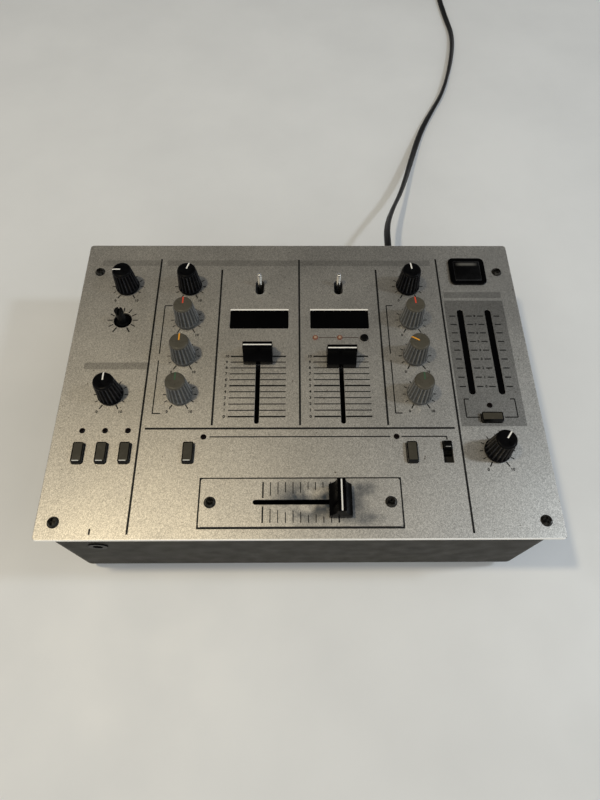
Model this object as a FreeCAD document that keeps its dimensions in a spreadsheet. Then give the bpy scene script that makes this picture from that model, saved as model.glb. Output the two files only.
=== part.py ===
import FreeCAD
import Part
import math
import os
import re
import Sketcher

from FreeCAD import Placement, Rotation, Vector

# A two-channel tabletop DJ mixer, in millimetres, standing on its feet at z = 0.
# +X is to the player's right, +Y to the rear, and the origin is under the panel's middle.

# Driving sizes. Each is written once here and goes into the sheet under its own name.
SIZES = {
    # Top panel and case
    "panel_width": 320.0,
    "panel_depth": 227.0,
    "panel_thickness": 2.0,
    "panel_corner": 2.5,
    "panel_edge_round": 0.6,
    "case_height": 74.0,
    "case_wall": 1.5,
    "case_corner": 8.0,
    "side_overhang": 5.0,
    "front_overhang": 1.5,
    "rear_overhang": 14.0,
    "tab_reach": 14.0,
    "tab_length": 16.0,
    "foot_height": 13.0,
    "foot_diameter": 24.0,
    "foot_tip_diameter": 20.0,
    "foot_recess_diameter": 9.0,
    "foot_recess_depth": 5.0,
    "foot_inset": 26.0,
    # Clearances
    "running_gap": 0.3,
    "shaft_clearance": 0.05,
    "fit_gap": 0.1,
    # Screws
    "screw_shank": 3.4,
    "screw_head": 6.8,
    "screw_head_height": 1.8,
    "screw_length": 7.0,
    "screw_cross_width": 1.0,
    "screw_cross_depth": 1.0,
    "screw_side_inset": 11.0,
    "screw_front_inset": 11.0,
    "screw_rear_inset": 26.0,
    # Boards and what holds them
    "board_thickness": 1.6,
    "control_drop": 14.0,
    "control_side_gap": 8.5,
    "control_front_gap": 30.5,
    "control_rear_gap": 1.0,
    "main_rise": 8.0,
    "main_side_gap": 13.5,
    "main_right": 62.0,
    "main_front_gap": 40.5,
    "main_rear_gap": 6.0,
    "post_diameter": 6.0,
    "post_offset": 22.5,
    "post_rear_row": 60.0,
    "post_front_row": -30.0,
    "post_inset": 8.0,
    "post_rear_inset": 32.0,
    # Rotary controls
    "strip_inset": 33.5,
    "channel_column": 80.4,
    "knob_row": 74.0,
    "knob_pitch": 30.0,
    "master_row": -57.0,
    "pot_hole": 13.0,
    "pot_side": 16.0,
    "pot_headroom": 1.5,
    "pot_floor": 2.0,
    "bushing_diameter": 9.0,
    "bushing_drop": 0.6,
    "spindle_diameter": 6.0,
    "spindle_grip": 10.0,
    "knob_gap": 0.5,
    "knob_height": 19.2,
    "knob_skirt": 11.0,
    "knob_base_diameter": 17.4,
    "knob_waist_diameter": 14.8,
    "knob_collar_diameter": 14.0,
    "knob_top_diameter": 12.6,
    "knob_round": 1.2,
    "flute_count": 18,
    "flute_diameter": 2.0,
    "flute_depth": 0.75,
    "pointer_width": 1.3,
    "pointer_depth": 0.4,
    "bare_shaft_rise": 12.0,
    "bare_slot_width": 1.2,
    "bare_slot_depth": 2.0,
    # Faders
    "fader_column": 28.6,
    "fader_row": -9.4,
    "fader_travel": 47.0,
    "cross_travel": 49.0,
    "fader_stop": 0.3,
    "channel_two_drop": 2.5,
    "lever_length": 6.0,
    "lever_width": 2.0,
    "slot_side": 0.6,
    "slot_end": 1.8,
    "frame_width": 13.0,
    "frame_height": 9.5,
    "frame_wall": 1.2,
    "carriage_length": 12.0,
    "cap_length": 14.0,
    "cap_width": 20.0,
    "cap_height": 14.5,
    "cap_ridge": 5.0,
    "cap_scoop": 14.0,
    "cap_gap": 0.8,
    "cap_socket": 7.0,
    "cap_line_width": 1.2,
    "cap_line_depth": 0.4,
    "cross_inset": 22.7,
    "plate_length": 123.4,
    "plate_depth": 30.0,
    "plate_thickness": 1.2,
    "plate_corner": 1.5,
    "plate_screw_spacing": 111.0,
    "opening_margin": 1.5,
    # Toggle switches
    "toggle_column": 29.0,
    "toggle_row": 73.2,
    "toggle_slot_width": 6.6,
    "toggle_slot_length": 13.0,
    "toggle_body_width": 12.0,
    "toggle_body_length": 14.0,
    "toggle_body_gap": 1.0,
    "toggle_mouth_width": 4.4,
    "toggle_mouth_length": 10.0,
    "toggle_mouth_depth": 8.0,
    "toggle_pivot_drop": 4.0,
    "toggle_reach": 11.5,
    "toggle_tail": 2.0,
    "toggle_root_diameter": 2.4,
    "toggle_tip_diameter": 3.4,
    "toggle_pin_diameter": 2.0,
    "toggle_tilt": 12.5,
    # Push keys
    "key_width": 6.8,
    "key_length": 14.0,
    "key_rise": 2.6,
    "key_bevel_run": 1.6,
    "key_bevel_drop": 1.2,
    "key_travel": 1.2,
    "key_lip": 1.2,
    "key_lip_height": 1.5,
    "key_corner": 1.2,
    "switch_side": 6.0,
    "monitor_row": -58.2,
    "monitor_pitch": 14.75,
    "start_column": 71.5,
    "meter_key_row": -33.9,
    "meter_key_bevel_run": 1.4,
    "mode_diameter": 5.3,
    "mode_rise": 1.4,
    "mode_column": 45.8,
    "mode_row": 28.8,
    # Power key
    "power_inset": 26.0,
    "bezel_width": 27.0,
    "bezel_depth": 24.6,
    "bezel_rise": 1.5,
    "bezel_corner": 4.0,
    "power_width": 20.0,
    "power_depth": 18.0,
    "power_rise": 1.8,
    "power_travel": 2.0,
    "power_stem": 8.0,
    # Slide selector
    "selector_column": 94.7,
    "selector_row": -57.6,
    "selector_slot_width": 6.4,
    "selector_slot_length": 15.0,
    "selector_lever_width": 5.2,
    "selector_lever_length": 5.0,
    "selector_rise": 2.2,
    "selector_travel": 9.0,
    "selector_body_width": 11.0,
    "selector_body_length": 22.0,
    "selector_wall": 1.2,
    "selector_shoe_height": 4.0,
    # Displays, meters and indicator lamps
    "display_column": 28.8,
    "display_row": 44.6,
    "display_width": 42.0,
    "display_depth": 15.7,
    "display_border": 2.0,
    "display_corner": 1.0,
    "window_drop": 0.2,
    "meter_row": 18.3,
    "meter_spacing": 20.1,
    "meter_width": 4.5,
    "meter_length": 69.4,
    "lamp_diameter": 3.6,
    "lamp_rise": 0.9,
    "lamp_dome": 0.6,
    "monitor_lamp_row": -42.3,
    "tempo_lamp_row": 29.0,
    "tempo_lamp_left": 11.2,
    "tempo_lamp_right": 28.5,
    "start_lamp_column": 62.5,
    "start_lamp_row": -46.9,
    "level_lamp_row": -24.5,
    # Sockets on the front and rear
    "phones_column": -126.6,
    "phones_drop": 18.3,
    "mic_column": -122.0,
    "jack_bore": 6.4,
    "jack_depth": 20.0,
    "jack_ferrule": 12.0,
    "jack_proud": 0.8,
    "jack_body_width": 16.0,
    "jack_body_length": 24.0,
    "rca_first": -85.0,
    "rca_pitch": 20.0,
    "rca_count": 6,
    "rca_row_height": 10.0,
    "rca_row_pitch": 16.0,
    "rca_collar": 10.0,
    "rca_collar_proud": 1.0,
    "rca_barrel": 8.3,
    "rca_bore": 3.2,
    "rca_reach": 9.5,
    "rca_body_width": 12.0,
    "rca_body_depth": 12.0,
    "mini_first": 36.0,
    "mini_pitch": 13.0,
    "mini_bore": 3.6,
    "mini_ferrule": 6.0,
    "mini_proud": 1.5,
    "mini_body_side": 9.0,
    "mini_body_depth": 13.0,
    "ground_column": -103.0,
    "ground_post": 4.0,
    "ground_knob": 10.0,
    "ground_knob_length": 6.0,
    "ground_reach": 9.0,
    "ground_nut": 7.0,
    "ground_nut_length": 3.0,
    # Mains transformer
    "core_inset": 45.5,
    "core_y": 20.0,
    "core_width": 56.0,
    "core_depth": 28.0,
    "core_height": 46.0,
    "core_leg": 9.0,
    "core_centre": 16.0,
    "winding_bulge": 9.0,
    "bracket_length": 76.0,
    "bracket_thickness": 1.5,
    # Mains lead
    "gland_column": 78.0,
    "gland_height": 46.0,
    "gland_length": 32.0,
    "gland_root_diameter": 14.0,
    "gland_tip_diameter": 9.0,
    "gland_neck": 12.0,
    "gland_flange": 17.0,
    "gland_flange_length": 3.0,
    "cord_diameter": 6.0,
    "coil_inner_radius": 24.0,
    "coil_gap": 0.9,
    "coil_tail": 24.0,
    "plug_neck_length": 14.0,
    "plug_neck_diameter": 12.0,
    "plug_length": 30.0,
    "plug_width": 25.0,
    "blade_length": 17.0,
    "blade_height": 6.3,
    "blade_thickness": 1.5,
    "blade_spacing": 12.7,
}

doc = FreeCAD.newDocument("mixer")
sheet = doc.addObject("Spreadsheet::Sheet", "sheet")
for row, (alias, size) in enumerate(SIZES.items(), start=1):
    sheet.set(f"A{row}", alias.replace("_", " "))
    sheet.set(f"B{row}", str(size))
    sheet.setAlias(f"B{row}", alias)
doc.recompute()

# Levels and edges that follow from the driving sizes
PANEL_UNDER = "(foot_height + case_height)"
PANEL_TOP = "(foot_height + case_height + panel_thickness)"
PLATE_TOP = "(foot_height + case_height + panel_thickness + plate_thickness)"
CASE_FLOOR = "(foot_height + case_wall)"
CASE_SIDE = "(panel_width / 2 - side_overhang)"
CASE_FRONT = "(front_overhang - panel_depth / 2)"
CASE_REAR = "(panel_depth / 2 - rear_overhang)"
CONTROL_TOP = "(foot_height + case_height - control_drop)"
MAIN_TOP = "(foot_height + case_wall + main_rise + board_thickness)"
REAR_INNER = "(panel_depth / 2 - rear_overhang - case_wall)"
STRIP = "(panel_width / 2 - strip_inset)"
CROSS_ROW = "(cross_inset - panel_depth / 2)"
POWER_ROW = "(panel_depth / 2 - power_inset)"
BORE = "(spindle_diameter + 2 * shaft_clearance)"

SIZE_NAME = re.compile(r"\b(" + "|".join(SIZES) + r")\b")
NODES = []


def formula(text):
    """Puts the sheet's name before each size that an expression uses."""
    return SIZE_NAME.sub(r"sheet.\1", str(text))


def value(text):
    """The number that an expression comes to."""
    return float(sheet.evalExpression(formula(text)))


def bind(item, prop, text):
    """Ties a property of an object to the sheet."""
    item.setExpression(prop, formula(text))


def about(centre, size):
    """The low and high ends of a size that is centred on a place."""
    return (f"({centre}) - ({size}) / 2", f"({centre}) + ({size}) / 2")


def node(label, item):
    """Names a finished sub-part, whose shape goes into the file of that name."""
    item.Label = label
    NODES.append(item)
    return item


# Solids from primitives

TURN = {
    "X": Rotation(Vector(0, 1, 0), 90),
    "Y": Rotation(Vector(1, 0, 0), -90),
    "Z": Rotation(),
}


def block(name, x, y, z):
    """A box between three (low, high) pairs."""
    item = doc.addObject("Part::Box", name)
    for prop, axis, (low, high) in zip(("Length", "Width", "Height"), "xyz", (x, y, z)):
        bind(item, prop, f"({high}) - ({low})")
        bind(item, f"Placement.Base.{axis}", low)
    return item


def lay_along(item, x, y, z):
    """Turns a round solid along the coordinate given as a (low, high) pair, and places it."""
    for axis, where in zip("XYZ", (x, y, z)):
        if isinstance(where, tuple):
            item.Placement = Placement(Vector(), TURN[axis])
            bind(item, "Height", f"({where[1]}) - ({where[0]})")
    for axis, where in zip("xyz", (x, y, z)):
        low = where[0] if isinstance(where, tuple) else where
        bind(item, f"Placement.Base.{axis}", low)
    return item


def rod(name, diameter, x, y, z):
    """A cylinder along the one coordinate that is a (low, high) pair."""
    item = doc.addObject("Part::Cylinder", name)
    bind(item, "Radius", f"({diameter}) / 2")
    return lay_along(item, x, y, z)


def taper(name, low_diameter, high_diameter, x, y, z):
    """A cone frustum along the one coordinate that is a (low, high) pair."""
    item = doc.addObject("Part::Cone", name)
    bind(item, "Radius1", f"({low_diameter}) / 2")
    bind(item, "Radius2", f"({high_diameter}) / 2")
    return lay_along(item, x, y, z)


def join(name, items):
    """One solid of several that meet."""
    item = doc.addObject("Part::MultiFuse", name)
    item.Shapes = items
    return item


def group(name, items):
    """Separate solids that share a node."""
    item = doc.addObject("Part::Compound", name)
    item.Links = items
    return item


def placed(name, item, x, y, z, angle=0.0):
    """A copy of a finished solid, turned about Z and moved."""
    copy = group(name, [item])
    copy.Placement = Placement(Vector(), Rotation(Vector(0, 0, 1), angle))
    for axis, where in zip("xyz", (x, y, z)):
        bind(copy, f"Placement.Base.{axis}", where)
    return copy


def cut(name, base, tools):
    """A solid with others taken away from it."""
    item = doc.addObject("Part::Cut", name)
    item.Base = base
    item.Tool = tools[0] if len(tools) == 1 else join(f"{name}_tools", tools)
    return item


# Bodies from sketches


def new_body(name):
    return doc.addObject("PartDesign::Body", name)


def new_sketch(body, role, name, offset="0"):
    """A sketch on one of its body's own origin planes, moved along the plane's normal."""
    sketch = body.newObject("Sketcher::SketchObject", name)
    plane = next(item for item in body.Origin.OriginFeatures if item.Role == role)
    sketch.AttachmentSupport = [(plane, "")]
    sketch.MapMode = "FlatFace"
    bind(sketch, "AttachmentOffset.Base.z", offset)
    return sketch


def hold(sketch, kind, geometry, point, text):
    """Holds one coordinate of a point from the sketch's origin."""
    number = sketch.addConstraint(Sketcher.Constraint(kind, -1, 1, geometry, point, value(text)))
    bind(sketch, f"Constraints[{number}]", text)


def draw_outline(sketch, corners):
    """A closed outline of straight lines, each corner held in both directions."""
    points = [Vector(value(x), value(y), 0) for x, y in corners]
    first = sketch.GeometryCount
    count = len(points)
    for index in range(count):
        sketch.addGeometry(Part.LineSegment(points[index], points[(index + 1) % count]), False)
    for index in range(count):
        following = first + (index + 1) % count
        sketch.addConstraint(Sketcher.Constraint("Coincident", first + index, 2, following, 1))
        hold(sketch, "DistanceX", first + index, 1, corners[index][0])
        hold(sketch, "DistanceY", first + index, 1, corners[index][1])


def draw_rectangle(sketch, x, y):
    """A rectangle between two (low, high) pairs."""
    draw_outline(sketch, [(x[0], y[0]), (x[1], y[0]), (x[1], y[1]), (x[0], y[1])])


def draw_circle(sketch, x, y, diameter):
    """A circle with its centre held in both directions."""
    centre = Vector(value(x), value(y), 0)
    radius = f"({diameter}) / 2"
    geometry = sketch.addGeometry(Part.Circle(centre, Vector(0, 0, 1), value(radius)), False)
    hold(sketch, "DistanceX", geometry, 3, x)
    hold(sketch, "DistanceY", geometry, 3, y)
    number = sketch.addConstraint(Sketcher.Constraint("Radius", geometry, value(radius)))
    bind(sketch, f"Constraints[{number}]", radius)


def draw_slot(sketch, x, y, width, length, along="Y"):
    """A slot with round ends along X or Y: two half circles joined by tangent lines."""
    radius = f"({width}) / 2"
    half = value(radius)
    middle, across = (x, y) if along == "X" else (y, x)
    far, near = f"({middle}) + ({length}) / 2 - {radius}", f"({middle}) - ({length}) / 2 + {radius}"
    first_turn = -math.pi / 2 if along == "X" else 0.0

    def place(level):
        return (level, across) if along == "X" else (across, level)

    first = sketch.GeometryCount
    arcs = []
    for level, start in ((far, first_turn), (near, first_turn + math.pi)):
        centre = Vector(*[value(text) for text in place(level)], 0)
        arcs.append(Part.ArcOfCircle(Part.Circle(centre, Vector(0, 0, 1), half), start, start + math.pi))
        sketch.addGeometry(arcs[-1], False)
    for one, other in ((arcs[0], arcs[1]), (arcs[1], arcs[0])):
        sketch.addGeometry(Part.LineSegment(one.EndPoint, other.StartPoint), False)
    far_arc, near_arc, there, back_again = range(first, first + 4)
    for one, other in ((far_arc, there), (there, near_arc), (near_arc, back_again), (back_again, far_arc)):
        sketch.addConstraint(Sketcher.Constraint("Tangent", one, 2, other, 1))
    sketch.addConstraint(Sketcher.Constraint("Equal", far_arc, near_arc))
    for arc, level in ((far_arc, far), (near_arc, near)):
        for kind, text in zip(("DistanceX", "DistanceY"), place(level)):
            hold(sketch, kind, arc, 3, text)
    number = sketch.addConstraint(Sketcher.Constraint("Radius", far_arc, half))
    bind(sketch, f"Constraints[{number}]", radius)


def pad(body, sketch, length):
    """Material along the sketch's normal."""
    feature = body.newObject("PartDesign::Pad", f"{sketch.Name}_pad")
    feature.Profile = sketch
    bind(feature, "Length", length)
    return feature


def pocket(body, sketch, depth=None):
    """A cut against the sketch's normal, right through where no depth is given."""
    before = body.Tip
    feature = body.newObject("PartDesign::Pocket", f"{sketch.Name}_pocket")
    feature.Profile = sketch
    if depth is None:
        feature.Type = "ThroughAll"
    else:
        bind(feature, "Length", depth)
    doc.recompute()
    assert feature.Shape.Volume < before.Shape.Volume, f"{feature.Name} cuts nothing"
    return feature


def revolve(body, sketch):
    """The outline turned about the sketch's own vertical axis."""
    feature = body.newObject("PartDesign::Revolution", f"{sketch.Name}_turned")
    feature.Profile = sketch
    feature.ReferenceAxis = (sketch, ["V_Axis"])
    feature.Angle = 360.0
    return feature


def fillet(body, name, radius, chosen):
    """Rounds the edges of the body so far that a test picks out."""
    doc.recompute()
    base = body.Tip
    edges = [f"Edge{number}" for number, edge in enumerate(base.Shape.Edges, start=1) if chosen(edge)]
    feature = body.newObject("PartDesign::Fillet", name)
    feature.Base = (base, edges)
    bind(feature, "Radius", radius)
    return feature


def upright(edge):
    """True for a straight edge along Z."""
    ends = edge.Vertexes
    if len(ends) != 2:
        return False
    run = ends[1].Point - ends[0].Point
    return abs(run.z) > 1e-6 and math.hypot(run.x, run.y) < 1e-6


def at_level(height):
    """A test for edges that lie flat at one height."""
    level = value(height)

    def chosen(edge):
        box = edge.BoundBox
        return abs(box.ZMin - level) < 1e-6 and abs(box.ZMax - level) < 1e-6

    return chosen


# Where the controls sit: names, places and the angle at which each rotary control is left,
# in degrees anticlockwise from twelve o'clock

ROTARIES = [
    ("mic_level_knob", f"-{STRIP}", "knob_row", 90.0),
    ("mic_eq_shaft", f"-{STRIP}", "knob_row - knob_pitch", 0.0),
    ("monitor_level_knob", f"-{STRIP}", "knob_row - 3 * knob_pitch", 0.0),
    ("ch1_trim_knob", "-channel_column", "knob_row", -16.0),
    ("ch1_high_knob", "-channel_column", "knob_row - knob_pitch", 0.0),
    ("ch1_mid_knob", "-channel_column", "knob_row - 2 * knob_pitch", 0.0),
    ("ch1_low_knob", "-channel_column", "knob_row - 3 * knob_pitch", 0.0),
    ("ch2_trim_knob", "channel_column", "knob_row", 7.0),
    ("ch2_high_knob", "channel_column", "knob_row - knob_pitch", 4.0),
    ("ch2_mid_knob", "channel_column", "knob_row - 2 * knob_pitch", 59.0),
    ("ch2_low_knob", "channel_column", "knob_row - 3 * knob_pitch", 0.0),
    ("master_level_knob", STRIP, "master_row", -36.0),
]
BARE_SHAFT = "mic_eq_shaft"

KEYS = [
    ("monitor_key_left", f"-{STRIP} - monitor_pitch", "monitor_row"),
    ("monitor_key_middle", f"-{STRIP}", "monitor_row"),
    ("monitor_key_right", f"-{STRIP} + monitor_pitch", "monitor_row"),
    ("ch1_start_key", "-start_column", "monitor_row"),
    ("ch2_start_key", "start_column", "monitor_row"),
]
METER_KEY = ("meter_select_key", STRIP, "meter_key_row")

LAMPS = [
    (f"-{STRIP} - monitor_pitch", "monitor_lamp_row"),
    (f"-{STRIP}", "monitor_lamp_row"),
    (f"-{STRIP} + monitor_pitch", "monitor_lamp_row"),
    ("tempo_lamp_left", "tempo_lamp_row"),
    ("tempo_lamp_right", "tempo_lamp_row"),
    ("-start_lamp_column", "start_lamp_row"),
    ("start_lamp_column", "start_lamp_row"),
    (STRIP, "level_lamp_row"),
]

SIDES = (-1, 1)
FRONT_SCREW_ROW = "(screw_front_inset - panel_depth / 2)"
REAR_SCREW_LINE = "(panel_depth / 2 - screw_rear_inset)"
PANEL_SCREWS = [
    (f"{side} * (panel_width / 2 - screw_side_inset)", row)
    for side in SIDES
    for row in (FRONT_SCREW_ROW, REAR_SCREW_LINE)
]
PLATE_SCREWS = [(f"{side} * plate_screw_spacing / 2", CROSS_ROW) for side in SIDES]

SLOT_LENGTH = "(fader_travel + lever_length + 2 * slot_end)"
CROSS_SLOT_LENGTH = "(cross_travel + lever_length + 2 * slot_end)"
SLOT_WIDTH = "(lever_width + 2 * slot_side)"
FRAME_ENDS = "carriage_length + 2 * running_gap + 2 * frame_wall + 2 * fader_stop"
FRAME_LENGTH = f"(fader_travel + {FRAME_ENDS})"
CROSS_FRAME_LENGTH = f"(cross_travel + {FRAME_ENDS})"
SCREW_HOLE = "(screw_shank + 2 * fit_gap)"

# Top panel: one punched sheet that overhangs the case and carries every control

panel = new_body("panel_body")
outline = new_sketch(panel, "XY_Plane", "panel_outline", PANEL_UNDER)
draw_rectangle(outline, about("0", "panel_width"), about("0", "panel_depth"))
pad(panel, outline, "panel_thickness")
fillet(panel, "panel_corners", "panel_corner", upright)
fillet(panel, "panel_rim", "panel_edge_round", at_level(PANEL_TOP))

round_holes = new_sketch(panel, "XY_Plane", "panel_round_holes", PANEL_TOP)
for label, x, y, angle in ROTARIES:
    draw_circle(round_holes, x, y, "pot_hole")
for x, y in LAMPS:
    draw_circle(round_holes, x, y, "lamp_diameter + 2 * fit_gap")
for x, y in PANEL_SCREWS + PLATE_SCREWS:
    draw_circle(round_holes, x, y, SCREW_HOLE)
draw_circle(round_holes, "mode_column", "mode_row", "mode_diameter + 2 * running_gap")
pocket(panel, round_holes)

square_holes = new_sketch(panel, "XY_Plane", "panel_square_holes", PANEL_TOP)
DISPLAY_HOLES = [
    (about(f"{side} * display_column", "display_width"), about("display_row", "display_depth"))
    for side in SIDES
]
NARROW, LONG = "key_width + 2 * running_gap", "key_length + 2 * running_gap"
KEY_HOLES = [(about(x, NARROW), about(y, LONG)) for label, x, y in KEYS]
KEY_HOLES.append((about(METER_KEY[1], LONG), about(METER_KEY[2], NARROW)))
for spans in DISPLAY_HOLES + KEY_HOLES:
    draw_rectangle(square_holes, *spans)
draw_rectangle(
    square_holes,
    about(STRIP, "power_width + 2 * running_gap"),
    about(POWER_ROW, "power_depth + 2 * running_gap"),
)
draw_rectangle(
    square_holes,
    about("selector_column", "selector_slot_width"),
    about("selector_row", "selector_slot_length"),
)
draw_rectangle(
    square_holes,
    about("0", f"{CROSS_FRAME_LENGTH} + 2 * opening_margin"),
    about(CROSS_ROW, "frame_width + 2 * opening_margin"),
)
pocket(panel, square_holes)


def corner_of(holes):
    """A test for the upright edges at the corners of rectangular holes."""
    corners = [(value(x), value(y)) for x_span, y_span in holes for x in x_span for y in y_span]

    def chosen(edge):
        box = edge.BoundBox
        near = (math.hypot(box.XMin - x, box.YMin - y) < 1e-6 for x, y in corners)
        return upright(edge) and any(near)

    return chosen


fillet(panel, "display_hole_corners", "display_corner", corner_of(DISPLAY_HOLES))
fillet(panel, "key_hole_corners", "key_corner + running_gap", corner_of(KEY_HOLES))

round_slots = new_sketch(panel, "XY_Plane", "panel_round_slots", PANEL_TOP)
for side in SIDES:
    toggle_place = (f"{side} * toggle_column", "toggle_row")
    draw_slot(round_slots, *toggle_place, "toggle_slot_width", "toggle_slot_length")
    draw_slot(round_slots, f"{side} * fader_column", "fader_row", SLOT_WIDTH, SLOT_LENGTH)
    meter_place = (f"{STRIP} + {side} * meter_spacing / 2", "meter_row")
    draw_slot(round_slots, *meter_place, "meter_width", "meter_length")
pocket(panel, round_slots)
node("top_panel", panel)

# Crossfader plate: a separate sheet over the panel, so that the crossfader can be changed

plate = new_body("plate_body")
plate_outline = new_sketch(plate, "XY_Plane", "plate_outline", PANEL_TOP)
draw_rectangle(plate_outline, about("0", "plate_length"), about(CROSS_ROW, "plate_depth"))
pad(plate, plate_outline, "plate_thickness")
fillet(plate, "plate_corners", "plate_corner", upright)
plate_holes = new_sketch(plate, "XY_Plane", "plate_holes", PLATE_TOP)
draw_slot(plate_holes, "0", CROSS_ROW, SLOT_WIDTH, CROSS_SLOT_LENGTH, along="X")
for x, y in PLATE_SCREWS:
    draw_circle(plate_holes, x, y, SCREW_HOLE)
pocket(plate, plate_holes)
node("crossfader_plate", plate)

# Case: a folded sheet tray, open above and behind, with four tabs that take the panel's screws

case = new_body("case_body")
case_outline = new_sketch(case, "XY_Plane", "case_outline", "foot_height")
draw_rectangle(case_outline, about("0", f"2 * {CASE_SIDE}"), (CASE_FRONT, CASE_REAR))
pad(case, case_outline, "case_height")

INNER_FRONT = f"({CASE_FRONT} + case_wall)"
INNER_SIDE = f"({CASE_SIDE} - case_wall)"
TAB_SIDE = f"({CASE_SIDE} - tab_reach)"
OPEN_REAR = f"({CASE_REAR} + case_wall)"
FRONT_TAB_END = f"({FRONT_SCREW_ROW} + tab_length / 2)"
REAR_TAB_START, REAR_TAB_END = about(REAR_SCREW_LINE, "tab_length")
# The mouth's right half, from front to rear, steps in round the tabs
MOUTH_STEPS = [
    (TAB_SIDE, INNER_FRONT),
    (TAB_SIDE, FRONT_TAB_END),
    (INNER_SIDE, FRONT_TAB_END),
    (INNER_SIDE, REAR_TAB_START),
    (TAB_SIDE, REAR_TAB_START),
    (TAB_SIDE, REAR_TAB_END),
    (INNER_SIDE, REAR_TAB_END),
    (INNER_SIDE, OPEN_REAR),
]
mouth = new_sketch(case, "XY_Plane", "case_mouth", PANEL_UNDER)
draw_outline(mouth, MOUTH_STEPS + [(f"-{x}", y) for x, y in reversed(MOUTH_STEPS)])
pocket(case, mouth, "case_wall")
hollow = new_sketch(case, "XY_Plane", "case_hollow", f"{PANEL_UNDER} - case_wall")
draw_rectangle(hollow, (f"-{INNER_SIDE}", INNER_SIDE), (INNER_FRONT, OPEN_REAR))
pocket(case, hollow, "case_height - 2 * case_wall")


def corner_at(side, front):
    """A test for upright edges at a place on both sides of the middle."""

    def chosen(edge):
        box = edge.BoundBox
        at_front = abs(box.YMin - value(front)) < 1e-6
        return upright(edge) and at_front and abs(abs(box.XMin) - value(side)) < 1e-6

    return chosen


fillet(case, "case_inner_corners", "case_corner - case_wall", corner_at(INNER_SIDE, INNER_FRONT))
fillet(case, "case_front_corners", "case_corner", corner_at(CASE_SIDE, CASE_FRONT))

# Screws: a shank and a domed head with a cross cut into it


def screw(name, x, y, z, axis, outward):
    """A screw whose head sits on a face. The coordinate along its axis is that face's place."""
    places = {"x": x, "y": y, "z": z}
    seat = places[axis]
    tip = f"({seat}) - {outward} * screw_length"
    top = f"({seat}) + {outward} * screw_head_height"
    floor = f"({top}) - {outward} * screw_cross_depth"
    shank_span = (tip, seat) if outward > 0 else (seat, tip)
    head_span = (seat, top) if outward > 0 else (top, seat)
    cross_span = (floor, top) if outward > 0 else (top, floor)
    shank = rod(f"{name}_shank", "screw_shank", **{**places, axis: shank_span})
    rim, crown = "screw_head", "0.7 * screw_head"
    ends = (rim, crown) if outward > 0 else (crown, rim)
    head = taper(f"{name}_head", *ends, **{**places, axis: head_span})
    arms = []
    across = [other for other in "xyz" if other != axis]
    for number, long_axis in enumerate(across):
        spans = {axis: cross_span}
        for other in across:
            width = "0.6 * screw_head" if other == long_axis else "screw_cross_width"
            spans[other] = about(places[other], width)
        arms.append(block(f"{name}_arm_{number}", **spans))
    return cut(name, join(f"{name}_blank", [shank, head]), arms)


panel_screws = []
for number, (x, y) in enumerate(PANEL_SCREWS):
    panel_screws.append(screw(f"panel_screw_{number}", x, y, PANEL_TOP, "z", 1))
for number, (x, y) in enumerate(PLATE_SCREWS):
    panel_screws.append(screw(f"plate_screw_{number}", x, y, PLATE_TOP, "z", 1))
node("panel_screws", group("panel_screw_group", panel_screws))

REAR_SCREW_ROW = f"({REAR_INNER} - tab_length / 2)"
REAR_SCREW_LEVELS = (f"{CASE_FLOOR} + case_height / 4", f"{CASE_FLOOR} + 5 * case_height / 8")
side_screws = []
side_holes = []
for side in SIDES:
    for number, level in enumerate(REAR_SCREW_LEVELS):
        name = f"case_screw_{'left' if side < 0 else 'right'}_{number}"
        side_screws.append(screw(name, f"{side} * {CASE_SIDE}", REAR_SCREW_ROW, level, "x", side))
        reach = about(f"{side} * {CASE_SIDE}", "4 * case_wall + 4 * screw_shank")
        side_holes.append(rod(f"{name}_hole", SCREW_HOLE, reach, REAR_SCREW_ROW, level))
node("case_screws", group("case_screw_group", side_screws))

PHONES_LEVEL = f"({PANEL_UNDER} - phones_drop)"
phones_hole = rod(
    "phones_hole",
    "jack_ferrule + 2 * fit_gap",
    "phones_column",
    about(CASE_FRONT, "4 * case_wall"),
    PHONES_LEVEL,
)
tab_holes = []
for number, (x, y) in enumerate(PANEL_SCREWS):
    span = (f"{PANEL_UNDER} - 2 * case_wall", f"{PANEL_UNDER} + case_wall")
    tab_holes.append(rod(f"tab_hole_{number}", SCREW_HOLE, x, y, span))
node("case_shell", cut("case_drilled", case, [phones_hole] + side_holes + tab_holes))

# Feet: tapered rubber buttons with a recess for the fixing screw

feet = []
for x in (f"foot_inset - {CASE_SIDE}", f"{CASE_SIDE} - foot_inset"):
    for y in (f"{CASE_FRONT} + foot_inset", f"{CASE_REAR} - foot_inset"):
        name = f"foot_{len(feet)}"
        button = taper(f"{name}_button", "foot_tip_diameter", "foot_diameter", x, y, ("0", "foot_height"))
        recess = rod(f"{name}_recess", "foot_recess_diameter", x, y, ("-1", "foot_recess_depth"))
        feet.append(cut(name, button, [recess]))
node("rubber_feet", group("foot_group", feet))

# Boards on posts: the control board hangs under the panel, the main board stands on the floor

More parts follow.
